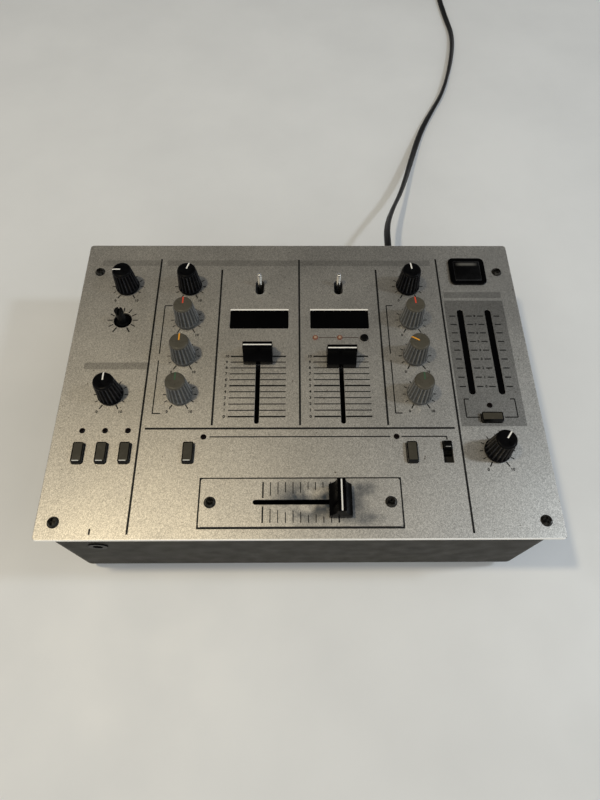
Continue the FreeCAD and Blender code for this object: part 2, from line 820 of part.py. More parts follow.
control_board = block(
    "control_board_sheet",
    about("0", f"2 * ({INNER_SIDE} - control_side_gap)"),
    (f"{INNER_FRONT} + control_front_gap", f"{REAR_INNER} - control_rear_gap"),
    (f"{CONTROL_TOP} - board_thickness", CONTROL_TOP),
)
node("control_board", control_board)
MAIN_LEFT = f"(main_side_gap - {INNER_SIDE})"
MAIN_FRONT = f"({INNER_FRONT} + main_front_gap)"
MAIN_REAR = f"({REAR_INNER} - main_rear_gap)"
main_board = block(
    "main_board_sheet",
    (MAIN_LEFT, "main_right"),
    (MAIN_FRONT, MAIN_REAR),
    (f"{MAIN_TOP} - board_thickness", MAIN_TOP),
)
node("main_board", main_board)
posts = []
POST_COLUMN = f"({STRIP} - post_offset)"
for x in (f"-{POST_COLUMN}", "0", POST_COLUMN):
    for y in ("post_rear_row", "post_front_row"):
        posts.append(rod(f"post_{len(posts)}", "post_diameter", x, y, (CONTROL_TOP, PANEL_UNDER)))
for x in (f"{MAIN_LEFT} + post_inset", "main_right - post_inset"):
    for y in (f"{MAIN_FRONT} + post_inset", f"{MAIN_REAR} - post_rear_inset"):
        span = (CASE_FLOOR, f"{MAIN_TOP} - board_thickness")
        posts.append(rod(f"post_{len(posts)}", "post_diameter", x, y, span))
node("board_standoffs", group("post_group", posts))

# Rotary controls: a pot on the control board, and a spindle with a fluted knob pushed onto it

SPINDLE_FLOOR = f"({CONTROL_TOP} + pot_floor)"
KNOB_FOOT = f"({PANEL_TOP} + knob_gap)"


def pot(name, x, y):
    """A square pot whose bushing stands up into the panel's hole."""
    body_top = f"{PANEL_UNDER} - pot_headroom"
    base = block(f"{name}_case", about(x, "pot_side"), about(y, "pot_side"), (CONTROL_TOP, body_top))
    bushing = rod(f"{name}_bushing", "bushing_diameter", x, y, (CONTROL_TOP, f"{PANEL_TOP} - bushing_drop"))
    bore = rod(f"{name}_bore", BORE, x, y, (SPINDLE_FLOOR, f"{PANEL_TOP} + 1"))
    return cut(name, join(f"{name}_blank", [base, bushing]), [bore])


def knob(name):
    """A turned cap with flutes round its skirt and a groove for its pointer, which faces +Y."""
    body = new_body(name)
    half = new_sketch(body, "XZ_Plane", "knob_half")
    draw_outline(
        half,
        [
            ("spindle_diameter / 2", "0"),
            ("knob_base_diameter / 2", "0"),
            ("knob_waist_diameter / 2", "knob_skirt"),
            ("knob_collar_diameter / 2", "knob_skirt"),
            ("knob_top_diameter / 2", "knob_height"),
            ("0", "knob_height"),
            ("0", "spindle_grip"),
            ("spindle_diameter / 2", "spindle_grip"),
        ],
    )
    revolve(body, half)
    fillet(body, "knob_shoulder", "knob_round", at_level("knob_height"))
    flute = new_sketch(body, "XY_Plane", "knob_flute", "knob_skirt")
    flute_centre = "knob_base_diameter / 2 - flute_depth + flute_diameter / 2"
    draw_circle(flute, "0", flute_centre, "flute_diameter")
    first_flute = pocket(body, flute, "knob_skirt")
    ring = body.newObject("PartDesign::PolarPattern", "knob_flutes")
    ring.Originals = [first_flute]
    ring.Axis = (flute, ["N_Axis"])
    ring.Angle = 360.0
    bind(ring, "Occurrences", "flute_count")
    body.Tip = ring
    doc.recompute()
    pointer = new_sketch(body, "XY_Plane", "knob_pointer", "knob_height")
    draw_rectangle(pointer, about("0", "pointer_width"), ("0.2 * knob_top_diameter", "knob_top_diameter"))
    pocket(body, pointer, "pointer_depth")
    return body


knob_cap = knob("knob_cap")
pots = []
for label, x, y, angle in ROTARIES:
    pots.append(pot(f"{label}_pot", x, y))
    spindle_low = f"{SPINDLE_FLOOR} + running_gap"
    if label == BARE_SHAFT:
        top = f"{PANEL_TOP} + bare_shaft_rise"
        shaft = rod("bare_shaft", "spindle_diameter", x, y, (spindle_low, top))
        slot = block(
            "bare_shaft_slot",
            about(x, "bare_slot_width"),
            about(y, "2 * spindle_diameter"),
            (f"{top} - bare_slot_depth", f"{top} + 1"),
        )
        node(label, cut("bare_shaft_slotted", shaft, [slot]))
    else:
        spindle = rod(
            f"{label}_spindle", "spindle_diameter", x, y, (spindle_low, f"{KNOB_FOOT} + spindle_grip")
        )
        cap = placed(f"{label}_cap", knob_cap, x, y, KNOB_FOOT, angle)
        node(label, group(f"{label}_set", [cap, spindle]))
node("rotary_pots", group("pot_group", pots))

# Faders: a slotted channel, a carriage that slides in it, and a scooped cap on its lever


def oriented(along, lengthwise, crosswise):
    """The x and y spans of something that runs along X or along Y."""
    return (lengthwise, crosswise) if along == "X" else (crosswise, lengthwise)


def fader_frame(name, x, y, top, along, length):
    """A closed channel with a slot along its top."""
    middle, beside = (x, y) if along == "X" else (y, x)
    inner_length = f"{length} - 2 * frame_wall"
    inner_width = "frame_width - 2 * frame_wall"
    shell = block(
        f"{name}_shell",
        *oriented(along, about(middle, length), about(beside, "frame_width")),
        (f"{top} - frame_height", top),
    )
    hollow_span = (f"{top} - frame_height + frame_wall", f"{top} - frame_wall")
    cavity = block(
        f"{name}_cavity",
        *oriented(along, about(middle, inner_length), about(beside, inner_width)),
        hollow_span,
    )
    slot_span = (f"{top} - 2 * frame_wall", f"{top} + 1")
    slot = block(
        f"{name}_slot",
        *oriented(along, about(middle, inner_length), about(beside, SLOT_WIDTH)),
        slot_span,
    )
    return cut(name, shell, [cavity, slot])


def fader_carriage(name, x, y, top, surface, along):
    """A block that fills the channel with running gaps, and its lever up into the cap."""
    middle, beside = (x, y) if along == "X" else (y, x)
    width = "frame_width - 2 * frame_wall - 2 * running_gap"
    low = f"{top} - frame_height + frame_wall + running_gap"
    shoe = block(
        f"{name}_shoe",
        *oriented(along, about(middle, "carriage_length"), about(beside, width)),
        (low, f"{top} - frame_wall - running_gap"),
    )
    lever = block(
        f"{name}_lever",
        *oriented(along, about(middle, "lever_length"), about(beside, "lever_width")),
        (low, f"{surface} + cap_gap + cap_socket"),
    )
    return join(name, [shoe, lever])


def fader_cap(name, x, y, surface, along):
    """A cap scooped on both sides of its ridge, with a groove for the line along the ridge."""
    middle, beside = (x, y) if along == "X" else (y, x)
    low = f"{surface} + cap_gap"
    crest = f"{low} + cap_height"
    solid = block(
        f"{name}_block",
        *oriented(along, about(middle, "cap_length"), about(beside, "cap_width")),
        (low, crest),
    )
    tools = []
    for side in SIDES:
        centre = f"({middle}) + {side} * (cap_ridge / 2 + cap_scoop)"
        spans = oriented(along, centre, about(beside, "2 * cap_width"))
        tools.append(rod(f"{name}_scoop_{len(tools)}", "2 * cap_scoop", *spans, crest))
    line_spans = oriented(along, about(middle, "cap_line_width"), about(beside, "2 * cap_width"))
    tools.append(block(f"{name}_line", *line_spans, (f"{crest} - cap_line_depth", f"{crest} + 1")))
    socket_spans = oriented(
        along,
        about(middle, "lever_length + 2 * shaft_clearance"),
        about(beside, "lever_width + 2 * shaft_clearance"),
    )
    tools.append(block(f"{name}_socket", *socket_spans, (f"{low} - 1", f"{low} + cap_socket")))
    return cut(name, solid, tools)


TRAVEL_END = "(fader_travel / 2 - fader_stop)"
CROSS_END = "(cross_travel / 2 - fader_stop)"
FADERS = [
    ("ch1_fader", "-fader_column", "fader_row", "Y", TRAVEL_END),
    ("ch2_fader", "fader_column", "fader_row", "Y", f"({TRAVEL_END} - channel_two_drop)"),
    ("crossfader", "0", CROSS_ROW, "X", CROSS_END),
]
channel_frames = []
for label, x, y, along, rest in FADERS:
    is_cross = along == "X"
    top = PANEL_TOP if is_cross else PANEL_UNDER
    surface = PLATE_TOP if is_cross else PANEL_TOP
    length = CROSS_FRAME_LENGTH if is_cross else FRAME_LENGTH
    frame = fader_frame(f"{label}_channel", x, y, top, along, length)
    if is_cross:
        node("crossfader_frame", frame)
    else:
        channel_frames.append(frame)
    rest_x = f"({x}) + {rest}" if is_cross else x
    rest_y = y if is_cross else f"({y}) + {rest}"
    node(f"{label}_carriage", fader_carriage(f"{label}_slider", rest_x, rest_y, top, surface, along))
    node(f"{label}_knob", fader_cap(f"{label}_cap", rest_x, rest_y, surface, along))
node("channel_fader_frames", group("channel_frame_group", channel_frames))

# Toggle switches: a housing with an open mouth, and a bat lever on a cross pin

PIVOT_LEVEL = f"({PANEL_UNDER} - toggle_pivot_drop)"


def toggle_lever(name, x):
    """A turned bat that is thicker at its tip, leaning to the rear on its cross pin."""
    bat = new_body(f"{name}_bat")
    half = new_sketch(bat, "XZ_Plane", f"{name}_half")
    reach = "(toggle_pivot_drop + panel_thickness + toggle_reach)"
    draw_outline(
        half,
        [
            ("0", "-toggle_tail"),
            ("toggle_root_diameter / 2", "-toggle_tail"),
            ("toggle_root_diameter / 2", f"{reach} / 3"),
            ("toggle_tip_diameter / 2", f"{reach} - toggle_tip_diameter / 2"),
            ("toggle_tip_diameter / 2", reach),
            ("0", reach),
        ],
    )
    revolve(bat, half)
    fillet(bat, f"{name}_crown", "0.45 * toggle_tip_diameter", at_level(reach))
    pin = rod(f"{name}_pin", "toggle_pin_diameter", about("0", "toggle_body_width"), "0", "0")
    lever = join(name, [bat, pin])
    lever.Placement = Placement(Vector(), Rotation(Vector(1, 0, 0), -1))
    for axis, where in zip("xyz", (x, "toggle_row", PIVOT_LEVEL)):
        bind(lever, f"Placement.Base.{axis}", where)
    bind(lever, "Placement.Rotation.Angle", "-toggle_tilt")
    return lever


toggle_bodies = []
for side in SIDES:
    channel = "ch1" if side < 0 else "ch2"
    x = f"{side} * toggle_column"
    name = f"{channel}_toggle"
    housing_top = f"{PANEL_UNDER} - toggle_body_gap"
    housing = block(
        f"{name}_housing",
        about(x, "toggle_body_width"),
        about("toggle_row", "toggle_body_length"),
        (CONTROL_TOP, housing_top),
    )
    mouth = block(
        f"{name}_mouth",
        about(x, "toggle_mouth_width"),
        about("toggle_row", "toggle_mouth_length"),
        (f"{housing_top} - toggle_mouth_depth", f"{housing_top} + 1"),
    )
    pin_hole = rod(
        f"{name}_pin_hole",
        "toggle_pin_diameter + 2 * shaft_clearance",
        about(x, "2 * toggle_body_width"),
        "toggle_row",
        PIVOT_LEVEL,
    )
    toggle_bodies.append(cut(f"{name}_body", housing, [mouth, pin_hole]))
    node(f"{channel}_toggle_lever", toggle_lever(f"{name}_lever", x))
node("toggle_switch_bodies", group("toggle_body_group", toggle_bodies))

# Push keys: a moulded key through the panel, kept by a lip under it, over a switch on the board

LIP_TOP = f"({PANEL_UNDER} - running_gap)"
LIP_FOOT = f"({LIP_TOP} - key_lip_height)"
KEY_TOP = f"({PANEL_TOP} + key_rise)"
SWITCH_TOP = f"({LIP_FOOT} - key_travel - running_gap)"


def key(name, width, length, bevel_run):
    """A key with its front top edge bevelled, drawn from the side and made to its width."""
    body = new_body(name)
    side_view = new_sketch(body, "YZ_Plane", f"{name}_side", f"-({width}) / 2")
    front, rear = f"-({length}) / 2", f"({length}) / 2"
    draw_outline(
        side_view,
        [
            (f"{front} - key_lip", LIP_FOOT),
            (f"{rear} + key_lip", LIP_FOOT),
            (f"{rear} + key_lip", LIP_TOP),
            (rear, LIP_TOP),
            (rear, KEY_TOP),
            (f"{front} + {bevel_run}", KEY_TOP),
            (front, f"{KEY_TOP} - key_bevel_drop"),
            (front, LIP_TOP),
            (f"{front} - key_lip", LIP_TOP),
        ],
    )
    pad(body, side_view, width)
    half_width, half_length = f"({width}) / 2", f"({length}) / 2"
    plan = ((f"-{half_width}", half_width), (f"-{half_length}", half_length))
    fillet(body, f"{name}_corners", "key_corner", corner_of([plan]))
    return body


long_key = key("long_key", "key_width", "key_length", "key_bevel_run")
wide_key = key("wide_key", "key_length", "key_width", "meter_key_bevel_run")
for label, x, y in KEYS:
    node(label, placed(f"{label}_cap", long_key, x, y, "0"))
node(METER_KEY[0], placed("meter_key_cap", wide_key, *METER_KEY[1:], "0"))
MODE_PLACE = ("mode_column", "mode_row")
mode_cap = rod("mode_cap", "mode_diameter", *MODE_PLACE, (LIP_FOOT, f"{PANEL_TOP} + mode_rise"))
mode_lip = rod("mode_lip", "mode_diameter + 2 * key_lip", *MODE_PLACE, (LIP_FOOT, LIP_TOP))
node("tempo_mode_button", join("mode_button", [mode_cap, mode_lip]))
switches = []
for x, y in [place for label, *place in KEYS + [METER_KEY]] + [MODE_PLACE]:
    sides = about(x, "switch_side"), about(y, "switch_side")
    switches.append(block(f"switch_{len(switches)}", *sides, (CONTROL_TOP, SWITCH_TOP)))
node("key_switches", group("switch_group", switches))

# Power key: a large key inside a raised bezel, with its switch on the control board

bezel = new_body("bezel_body")
bezel_outline = new_sketch(bezel, "XY_Plane", "bezel_outline", PANEL_TOP)
draw_rectangle(bezel_outline, about(STRIP, "bezel_width"), about(POWER_ROW, "bezel_depth"))
pad(bezel, bezel_outline, "bezel_rise")
fillet(bezel, "bezel_corners", "bezel_corner", upright)
bezel_hole = new_sketch(bezel, "XY_Plane", "bezel_hole", f"{PANEL_TOP} + bezel_rise")
draw_rectangle(
    bezel_hole,
    about(STRIP, "power_width + 2 * running_gap"),
    about(POWER_ROW, "power_depth + 2 * running_gap"),
)
pocket(bezel, bezel_hole)
node("power_bezel", bezel)
STEM_FOOT = f"({LIP_FOOT} - power_stem / 4)"
power_cap = block(
    "power_cap",
    about(STRIP, "power_width"),
    about(POWER_ROW, "power_depth"),
    (LIP_FOOT, f"{PANEL_TOP} + power_rise"),
)
power_lip = block(
    "power_lip",
    about(STRIP, "power_width + 2 * key_lip"),
    about(POWER_ROW, "power_depth"),
    (LIP_FOOT, LIP_TOP),
)
power_stem = block(
    "power_stem", about(STRIP, "power_stem"), about(POWER_ROW, "power_stem"), (STEM_FOOT, LIP_TOP)
)
node("power_key", join("power_key_solid", [power_cap, power_lip, power_stem]))
power_switch = block(
    "power_switch_block",
    about(STRIP, "power_width"),
    about(POWER_ROW, "power_depth"),
    (CONTROL_TOP, f"{STEM_FOOT} - power_travel - running_gap"),
)
node("power_switch_body", power_switch)

# Slide selector: a housing with a shoe that slides in it, and a lever up through the panel

SELECTOR_REST = "(selector_row + selector_travel / 2)"
SHOE_TOP = f"({PANEL_UNDER} - selector_wall - running_gap)"
SHOE_FOOT = f"({SHOE_TOP} - selector_shoe_height)"
SHOE_LENGTH = "(selector_body_length - 2 * selector_wall - selector_travel - 2 * running_gap)"
housing = block(
    "selector_housing",
    about("selector_column", "selector_body_width"),
    about("selector_row", "selector_body_length"),
    (CONTROL_TOP, PANEL_UNDER),
)
cavity = block(
    "selector_cavity",
    about("selector_column", "selector_body_width - 2 * selector_wall"),
    about("selector_row", "selector_body_length - 2 * selector_wall"),
    (f"{SHOE_FOOT} - running_gap", f"{SHOE_TOP} + running_gap"),
)
mouth = block(
    "selector_mouth",
    about("selector_column", "selector_slot_width"),
    about("selector_row", "selector_slot_length"),
    (SHOE_TOP, f"{PANEL_UNDER} + 1"),
)
node("selector_switch_body", cut("selector_body", housing, [cavity, mouth]))
shoe = block(
    "selector_shoe",
    about("selector_column", "selector_body_width - 2 * selector_wall - 2 * running_gap"),
    about(SELECTOR_REST, SHOE_LENGTH),
    (SHOE_FOOT, SHOE_TOP),
)
lever = block(
    "selector_lever",
    about("selector_column", "selector_lever_width"),
    about(SELECTOR_REST, "selector_lever_length"),
    (SHOE_FOOT, f"{PANEL_TOP} + selector_rise"),
)
node("selector_slider", join("selector_slide", [shoe, lever]))

# Displays and level meters: smoked windows in the panel over modules on the control board

WINDOW_SPAN = (PANEL_UNDER, f"{PANEL_TOP} - window_drop")
MODULE_SPAN = (CONTROL_TOP, PANEL_UNDER)


def window_body(name, draw, *place):
    """A smoked window that fills a hole in the panel, from an outline drawn at the panel's underside."""
    body = new_body(name)
    sketch = new_sketch(body, "XY_Plane", f"{name}_outline", PANEL_UNDER)
    draw(sketch, *place)
    pad(body, sketch, "panel_thickness - window_drop")
    return body


display_windows = []
meter_windows = []
modules = []
for side in SIDES:
    fitted_width, fitted_depth = "display_width - 2 * fit_gap", "display_depth - 2 * fit_gap"
    display_column = f"{side} * display_column"
    spans = about(display_column, fitted_width), about("display_row", fitted_depth)
    window = window_body(f"display_window_{len(display_windows)}", draw_rectangle, *spans)
    fillet(window, f"{window.Name}_corners", "display_corner", upright)
    display_windows.append(window)
    meter_column = f"{STRIP} + {side} * meter_spacing / 2"
    fitted_slot = "meter_width - 2 * fit_gap", "meter_length - 2 * fit_gap"
    name = f"meter_window_{len(meter_windows)}"
    meter_windows.append(window_body(name, draw_slot, meter_column, "meter_row", *fitted_slot))
    for x, y, width, depth in (
        (display_column, "display_row", "display_width", "display_depth"),
        (meter_column, "meter_row", "meter_width", "meter_length"),
    ):
        bordered = about(x, f"{width} + display_border"), about(y, f"{depth} + display_border")
        modules.append(block(f"module_{len(modules)}", *bordered, MODULE_SPAN))
node("display_windows", group("display_window_group", display_windows))
node("meter_windows", group("meter_window_group", meter_windows))
node("display_modules", group("module_group", modules))

lamps = []
for x, y in LAMPS:
    name = f"lamp_{len(lamps)}"
    shoulder = f"{PANEL_TOP} + lamp_rise - lamp_dome"
    stem = rod(f"{name}_stem", "lamp_diameter", x, y, (CONTROL_TOP, shoulder))
    dome = taper(
        f"{name}_dome", "lamp_diameter", "0.6 * lamp_diameter", x, y, (shoulder, f"{PANEL_TOP} + lamp_rise")
    )
    lamps.append(join(name, [stem, dome]))
node("indicator_lamps", group("lamp_group", lamps))

# Rear panel: a plate between the case's sides, with tabs that take the side screws

REAR_HALF = f"({CASE_SIDE} - case_wall - fit_gap)"
MIC_LEVEL = f"({MAIN_TOP} + jack_body_width / 2)"
RCA_COLUMNS = [f"(rca_first + {number} * rca_pitch)" for number in range(int(value("rca_count")))]
RCA_LEVELS = (f"({MAIN_TOP} + rca_row_height)", f"({MAIN_TOP} + rca_row_height + rca_row_pitch)")
MINI_COLUMNS = ("mini_first", "(mini_first + mini_pitch)")
MINI_LEVEL = f"({MAIN_TOP} + mini_body_side / 2)"
GROUND_LEVEL = RCA_LEVELS[0]
THROUGH_REAR = (f"{REAR_INNER} - case_wall", f"{CASE_REAR} + case_wall")

back = block(
    "rear_plate",
    about("0", f"2 * {REAR_HALF}"),
    (REAR_INNER, CASE_REAR),
    (CASE_FLOOR, f"{PANEL_UNDER} - fit_gap"),
)
back_tabs = []
for side in SIDES:
    outer = f"{side} * {REAR_HALF}"
    inner = f"{side} * ({REAR_HALF} - case_wall)"
    span = (outer, inner) if side < 0 else (inner, outer)
    back_tabs.append(
        block(
            f"rear_tab_{len(back_tabs)}",
            span,
            (f"{REAR_INNER} - tab_length", CASE_REAR),
            (f"{CASE_FLOOR} + case_wall", f"{PANEL_UNDER} - 3 * case_wall"),
        )
    )
rear_holes = [rod("mic_hole", "jack_ferrule + 2 * fit_gap", "mic_column", THROUGH_REAR, MIC_LEVEL)]
for x in RCA_COLUMNS:
    for level in RCA_LEVELS:
        name = f"rca_hole_{len(rear_holes)}"
        rear_holes.append(rod(name, "rca_collar + 2 * fit_gap", x, THROUGH_REAR, level))
for x in MINI_COLUMNS:
    rear_holes.append(
        rod(f"mini_hole_{len(rear_holes)}", "mini_ferrule + 2 * fit_gap", x, THROUGH_REAR, MINI_LEVEL)
    )
rear_holes.append(
    rod("ground_hole", "ground_post + 2 * fit_gap", "ground_column", THROUGH_REAR, GROUND_LEVEL)
)
rear_holes.append(
    rod("gland_hole", "gland_neck + 2 * fit_gap", "gland_column", THROUGH_REAR, "gland_height")
)
for side in SIDES:
    for level in REAR_SCREW_LEVELS:
        reach = about(f"{side} * {REAR_HALF}", "4 * case_wall")
        rear_holes.append(rod(f"tab_screw_hole_{len(rear_holes)}", SCREW_HOLE, reach, REAR_SCREW_ROW, level))
node("rear_panel", cut("rear_drilled", join("rear_blank", [back] + back_tabs), rear_holes))

# Sockets: bodies inside the case with their barrels or ferrules through its walls


def phone_jack(name, x, wall, level, outward):
    """A quarter-inch socket behind a wall whose inner face is at wall, facing along Y."""
    mouth = f"({wall}) + {outward} * (case_wall + jack_proud)"
    deep = f"({mouth}) - {outward} * jack_depth"
    back_end = f"({wall}) - {outward} * jack_body_length"
    shell_span = (back_end, wall) if outward > 0 else (wall, back_end)
    ferrule_span = (wall, mouth) if outward > 0 else (mouth, wall)
    bore_span = (deep, f"({mouth}) + 1") if outward > 0 else (f"({mouth}) - 1", deep)
    shell = block(f"{name}_shell", about(x, "jack_body_width"), shell_span, about(level, "jack_body_width"))
    ferrule = rod(f"{name}_ferrule", "jack_ferrule", x, ferrule_span, level)
    bore = rod(f"{name}_bore", "jack_bore", x, bore_span, level)
    return cut(name, join(f"{name}_blank", [shell, ferrule]), [bore])


phones = phone_jack("phones_jack", "phones_column", INNER_FRONT, PHONES_LEVEL, -1)
mic = phone_jack("mic_jack", "mic_column", REAR_INNER, MIC_LEVEL, 1)
node("phone_jacks", group("phone_jack_group", [phones, mic]))

rca_pieces = []
for column, x in enumerate(RCA_COLUMNS):
    shell_depth = (f"{REAR_INNER} - rca_body_depth", REAR_INNER)
    shell_height = (MAIN_TOP, f"{RCA_LEVELS[1]} + rca_body_width / 2")
    rca_pieces.append(block(f"rca_shell_{column}", about(x, "rca_body_width"), shell_depth, shell_height))
    for row, level in enumerate(RCA_LEVELS):
        name = f"rca_{column}_{row}"
        seat = f"{CASE_REAR} + rca_collar_proud"
        reach = f"{CASE_REAR} + rca_reach"
        rca_pieces.append(rod(f"{name}_collar", "rca_collar", x, (REAR_INNER, seat), level))
        barrel = rod(f"{name}_barrel", "rca_barrel", x, (seat, reach), level)
        bore = rod(f"{name}_bore", "rca_bore", x, (seat, reach), level)
        rca_pieces.append(cut(name, barrel, [bore]))
node("rca_jacks", group("rca_group", rca_pieces))

mini_jacks = []
for x in MINI_COLUMNS:
    name = f"mini_{len(mini_jacks)}"
    face = f"{CASE_REAR} + mini_proud"
    shell = block(
        f"{name}_shell",
        about(x, "mini_body_side"),
        (f"{REAR_INNER} - mini_body_depth", REAR_INNER),
        about(MINI_LEVEL, "mini_body_side"),
    )
    ferrule = rod(f"{name}_ferrule", "mini_ferrule", x, (REAR_INNER, face), MINI_LEVEL)
    bore_span = (f"{REAR_INNER} - mini_body_depth / 2", f"{face} + 1")
    bore = rod(f"{name}_bore", "mini_bore", x, bore_span, MINI_LEVEL)
    mini_jacks.append(cut(name, join(f"{name}_blank", [shell, ferrule]), [bore]))
node("control_jacks", group("mini_group", mini_jacks))

ground_end = f"{CASE_REAR} + ground_reach"
ground_post = rod(
    "ground_stud",
    "ground_post",
    "ground_column",
    (f"{REAR_INNER} - ground_nut_length", ground_end),
    GROUND_LEVEL,
)
ground_nut = rod(
    "ground_back_nut",
    "ground_nut",
    "ground_column",
    (f"{REAR_INNER} - ground_nut_length", REAR_INNER),
    GROUND_LEVEL,
)
ground_knob = rod(
    "ground_thumb_nut",
    "ground_knob",
    "ground_column",
    (CASE_REAR, f"{CASE_REAR} + ground_knob_length"),
    GROUND_LEVEL,
)
node("ground_terminal", join("ground_solid", [ground_post, ground_nut, ground_knob]))

# Mains transformer: a stacked core on a strap, with the winding round its middle leg

CORE_MIDDLE = f"({INNER_SIDE} - core_inset)"
CORE_FLOOR = f"({CASE_FLOOR} + bracket_thickness)"
core_block = block(
    "core_block",
    about(CORE_MIDDLE, "core_width"),
    about("core_y", "core_depth"),
    (CORE_FLOOR, f"{CORE_FLOOR} + core_height"),
)
WINDOW_LOW = f"({CORE_FLOOR} + core_leg)"
WINDOW_HIGH = f"({CORE_FLOOR} + core_height - core_leg)"
core_windows = []
for side in SIDES:
    near = f"{CORE_MIDDLE} + {side} * core_centre / 2"
    far = f"{CORE_MIDDLE} + {side} * (core_width / 2 - core_leg)"
    span = (far, near) if side < 0 else (near, far)
    through = about("core_y", "2 * core_depth")
    core_windows.append(block(f"core_window_{len(core_windows)}", span, through, (WINDOW_LOW, WINDOW_HIGH)))
core = cut("core", core_block, core_windows)
winding_block = block(
    "winding_block",
    about(CORE_MIDDLE, "core_width - 2 * core_leg - 2 * fit_gap"),
    about("core_y", "core_depth + 2 * winding_bulge"),
    (f"{WINDOW_LOW} + fit_gap", f"{WINDOW_HIGH} - fit_gap"),
)
winding_hole = block(
    "winding_hole",
    about(CORE_MIDDLE, "core_centre + 2 * fit_gap"),
    about("core_y", "core_depth + 2 * fit_gap"),
    (CORE_FLOOR, f"{CORE_FLOOR} + core_height"),
)
winding = cut("winding", winding_block, [winding_hole])
strap = block(
    "core_strap", about(CORE_MIDDLE, "bracket_length"), about("core_y", "core_depth"), (CASE_FLOOR, CORE_FLOOR)
)
node("power_transformer", group("transformer_group", [core, winding, strap]))

# Mains lead: a tapered strain relief, a free run down to the table, a put-away coil and a plug

GLAND_TIP = f"({CASE_REAR} + gland_length)"
gland_flange = rod(
    "gland_inner_flange",
    "gland_flange",
    "gland_column",
    (f"{REAR_INNER} - gland_flange_length", REAR_INNER),
    "gland_height",
)
gland_neck = rod("gland_throat", "gland_neck", "gland_column", (REAR_INNER, CASE_REAR), "gland_height")
gland_boot = taper(
    "gland_boot",
    "gland_root_diameter",
    "gland_tip_diameter",
    "gland_column",
    (CASE_REAR, GLAND_TIP),
    "gland_height",
)
node("cord_gland", join("gland_solid", [gland_flange, gland_neck, gland_boot]))

cord_radius = value("cord_diameter / 2")
# The route's points, chosen by hand from the strain relief's tip to the coil
CORD_ROUTE = [
    Vector(value("gland_column"), value(GLAND_TIP), value("gland_height")),
    Vector(value("gland_column"), 154.0, value("gland_height")),
    Vector(80.0, 180.0, 39.5),
    Vector(88.0, 209.0, 29.0),
    Vector(103.5, 249.0, 17.0),
    Vector(119.0, 302.0, 7.5),
    Vector(134.5, 352.0, 3.6),
    Vector(150.5, 386.0, cord_radius),
    Vector(166.0, 416.0, cord_radius),
    Vector(178.0, 454.0, cord_radius),
    Vector(187.5, 494.0, cord_radius),
    Vector(192.0, 530.0, cord_radius),
    Vector(188.0, 565.0, cord_radius),
    Vector(185.0, 598.0, cord_radius),
    Vector(184.5, 629.0, cord_radius),
    Vector(184.5, 660.0, cord_radius),
]
SHARE_OF_RUN = 0.45


def rounded_path(points):
    """Straight runs joined by tangent arcs, each as large as its two runs allow."""
    edges = []
    radii = []
    start = points[0]
    for before, corner, after in zip(points, points[1:], points[2:]):
        arriving = (corner - before).normalize()
        leaving = (after - corner).normalize()
        half_turn = arriving.getAngle(leaving) / 2
        setback = SHARE_OF_RUN * min((corner - before).Length, (after - corner).Length)
        radius = setback / math.tan(half_turn)
        first, last = corner - arriving * setback, corner + leaving * setback
        inward = (leaving - arriving).normalize()
        middle = corner + inward * (radius / math.cos(half_turn) - radius)
        edges.append(Part.LineSegment(start, first).toShape())
        edges.append(Part.Arc(first, middle, last).toShape())
        radii.append(radius)
        start = last
    edges.append(Part.LineSegment(start, points[-1]).toShape())
    return edges, radii


def swept_tube(edges, start, direction):
    """A round tube along a chain of edges."""
    circle = Part.Circle(start, direction, cord_radius).toShape()
    shell = Part.BRepOffsetAPI.MakePipeShell(Part.Wire(edges))
    shell.add(Part.Wire([circle]))
    shell.build()
    shell.makeSolid()
    return shell.shape()


def report_tube(name, solid, edges):
    """Compares a tube's volume with its section times its length, and prints both."""
    length = sum(edge.Length for edge in edges)
    expected = math.pi * cord_radius**2 * length
    print(f"{name}: {length:.0f} mm long, volume {solid.Volume / expected:.4f} of section times length")


run_edges, run_radii = rounded_path(CORD_ROUTE)
run_shape = swept_tube(run_edges, CORD_ROUTE[0], CORD_ROUTE[1] - CORD_ROUTE[0])
report_tube("cord run", run_shape, run_edges)
print("cord run radii:", " ".join(f"{radius:.0f}" for radius in run_radii))
cord_run = doc.addObject("Part::Feature", "cord_run")
cord_run.Shape = run_shape
node("mains_cord_run", cord_run)

# The coil spirals in on the table and out again one layer up, and climbs in the half turn between.
# Its angle is counted in degrees from its start, and its end faces along -X.
COIL_END = 2250.0
COIL_MIDDLE = COIL_END / 2
COIL_EASE = 60.0
CLIMB = 180.0
QUARTER = 90.0
coil_pitch = value("cord_diameter + coil_gap")


def coil_radius(angle):
    """The radius grows at a steady rate away from the middle of the length, eased at the middle."""
    return value("coil_inner_radius") + coil_pitch * math.hypot(angle - COIL_MIDDLE, COIL_EASE) / 360


def coil_height(angle):
    """One layer below, the next above, and a smooth climb between."""
    share = min(max((angle - COIL_MIDDLE) / CLIMB + 0.5, 0.0), 1.0)
    return cord_radius + coil_pitch * share * share * (3 - 2 * share)


coil_start = CORD_ROUTE[-1] + Vector(0, value("cord_diameter"), 0)
coil_centre = Vector(coil_start.x - coil_radius(0), coil_start.y, 0)


def coil_point(angle):
    turn = math.radians(angle)
    radius = coil_radius(angle)
    return coil_centre + Vector(radius * math.cos(turn), radius * math.sin(turn), coil_height(angle))


def coil_direction(angle):
    """The way the cord runs, square at both ends."""
    if angle <= 0:
        return Vector(0, 1, 0)
    if angle >= COIL_END:
        return Vector(-1, 0, 0)
    step = 0.01
    return (coil_point(angle + step) - coil_point(angle - step)).normalize()


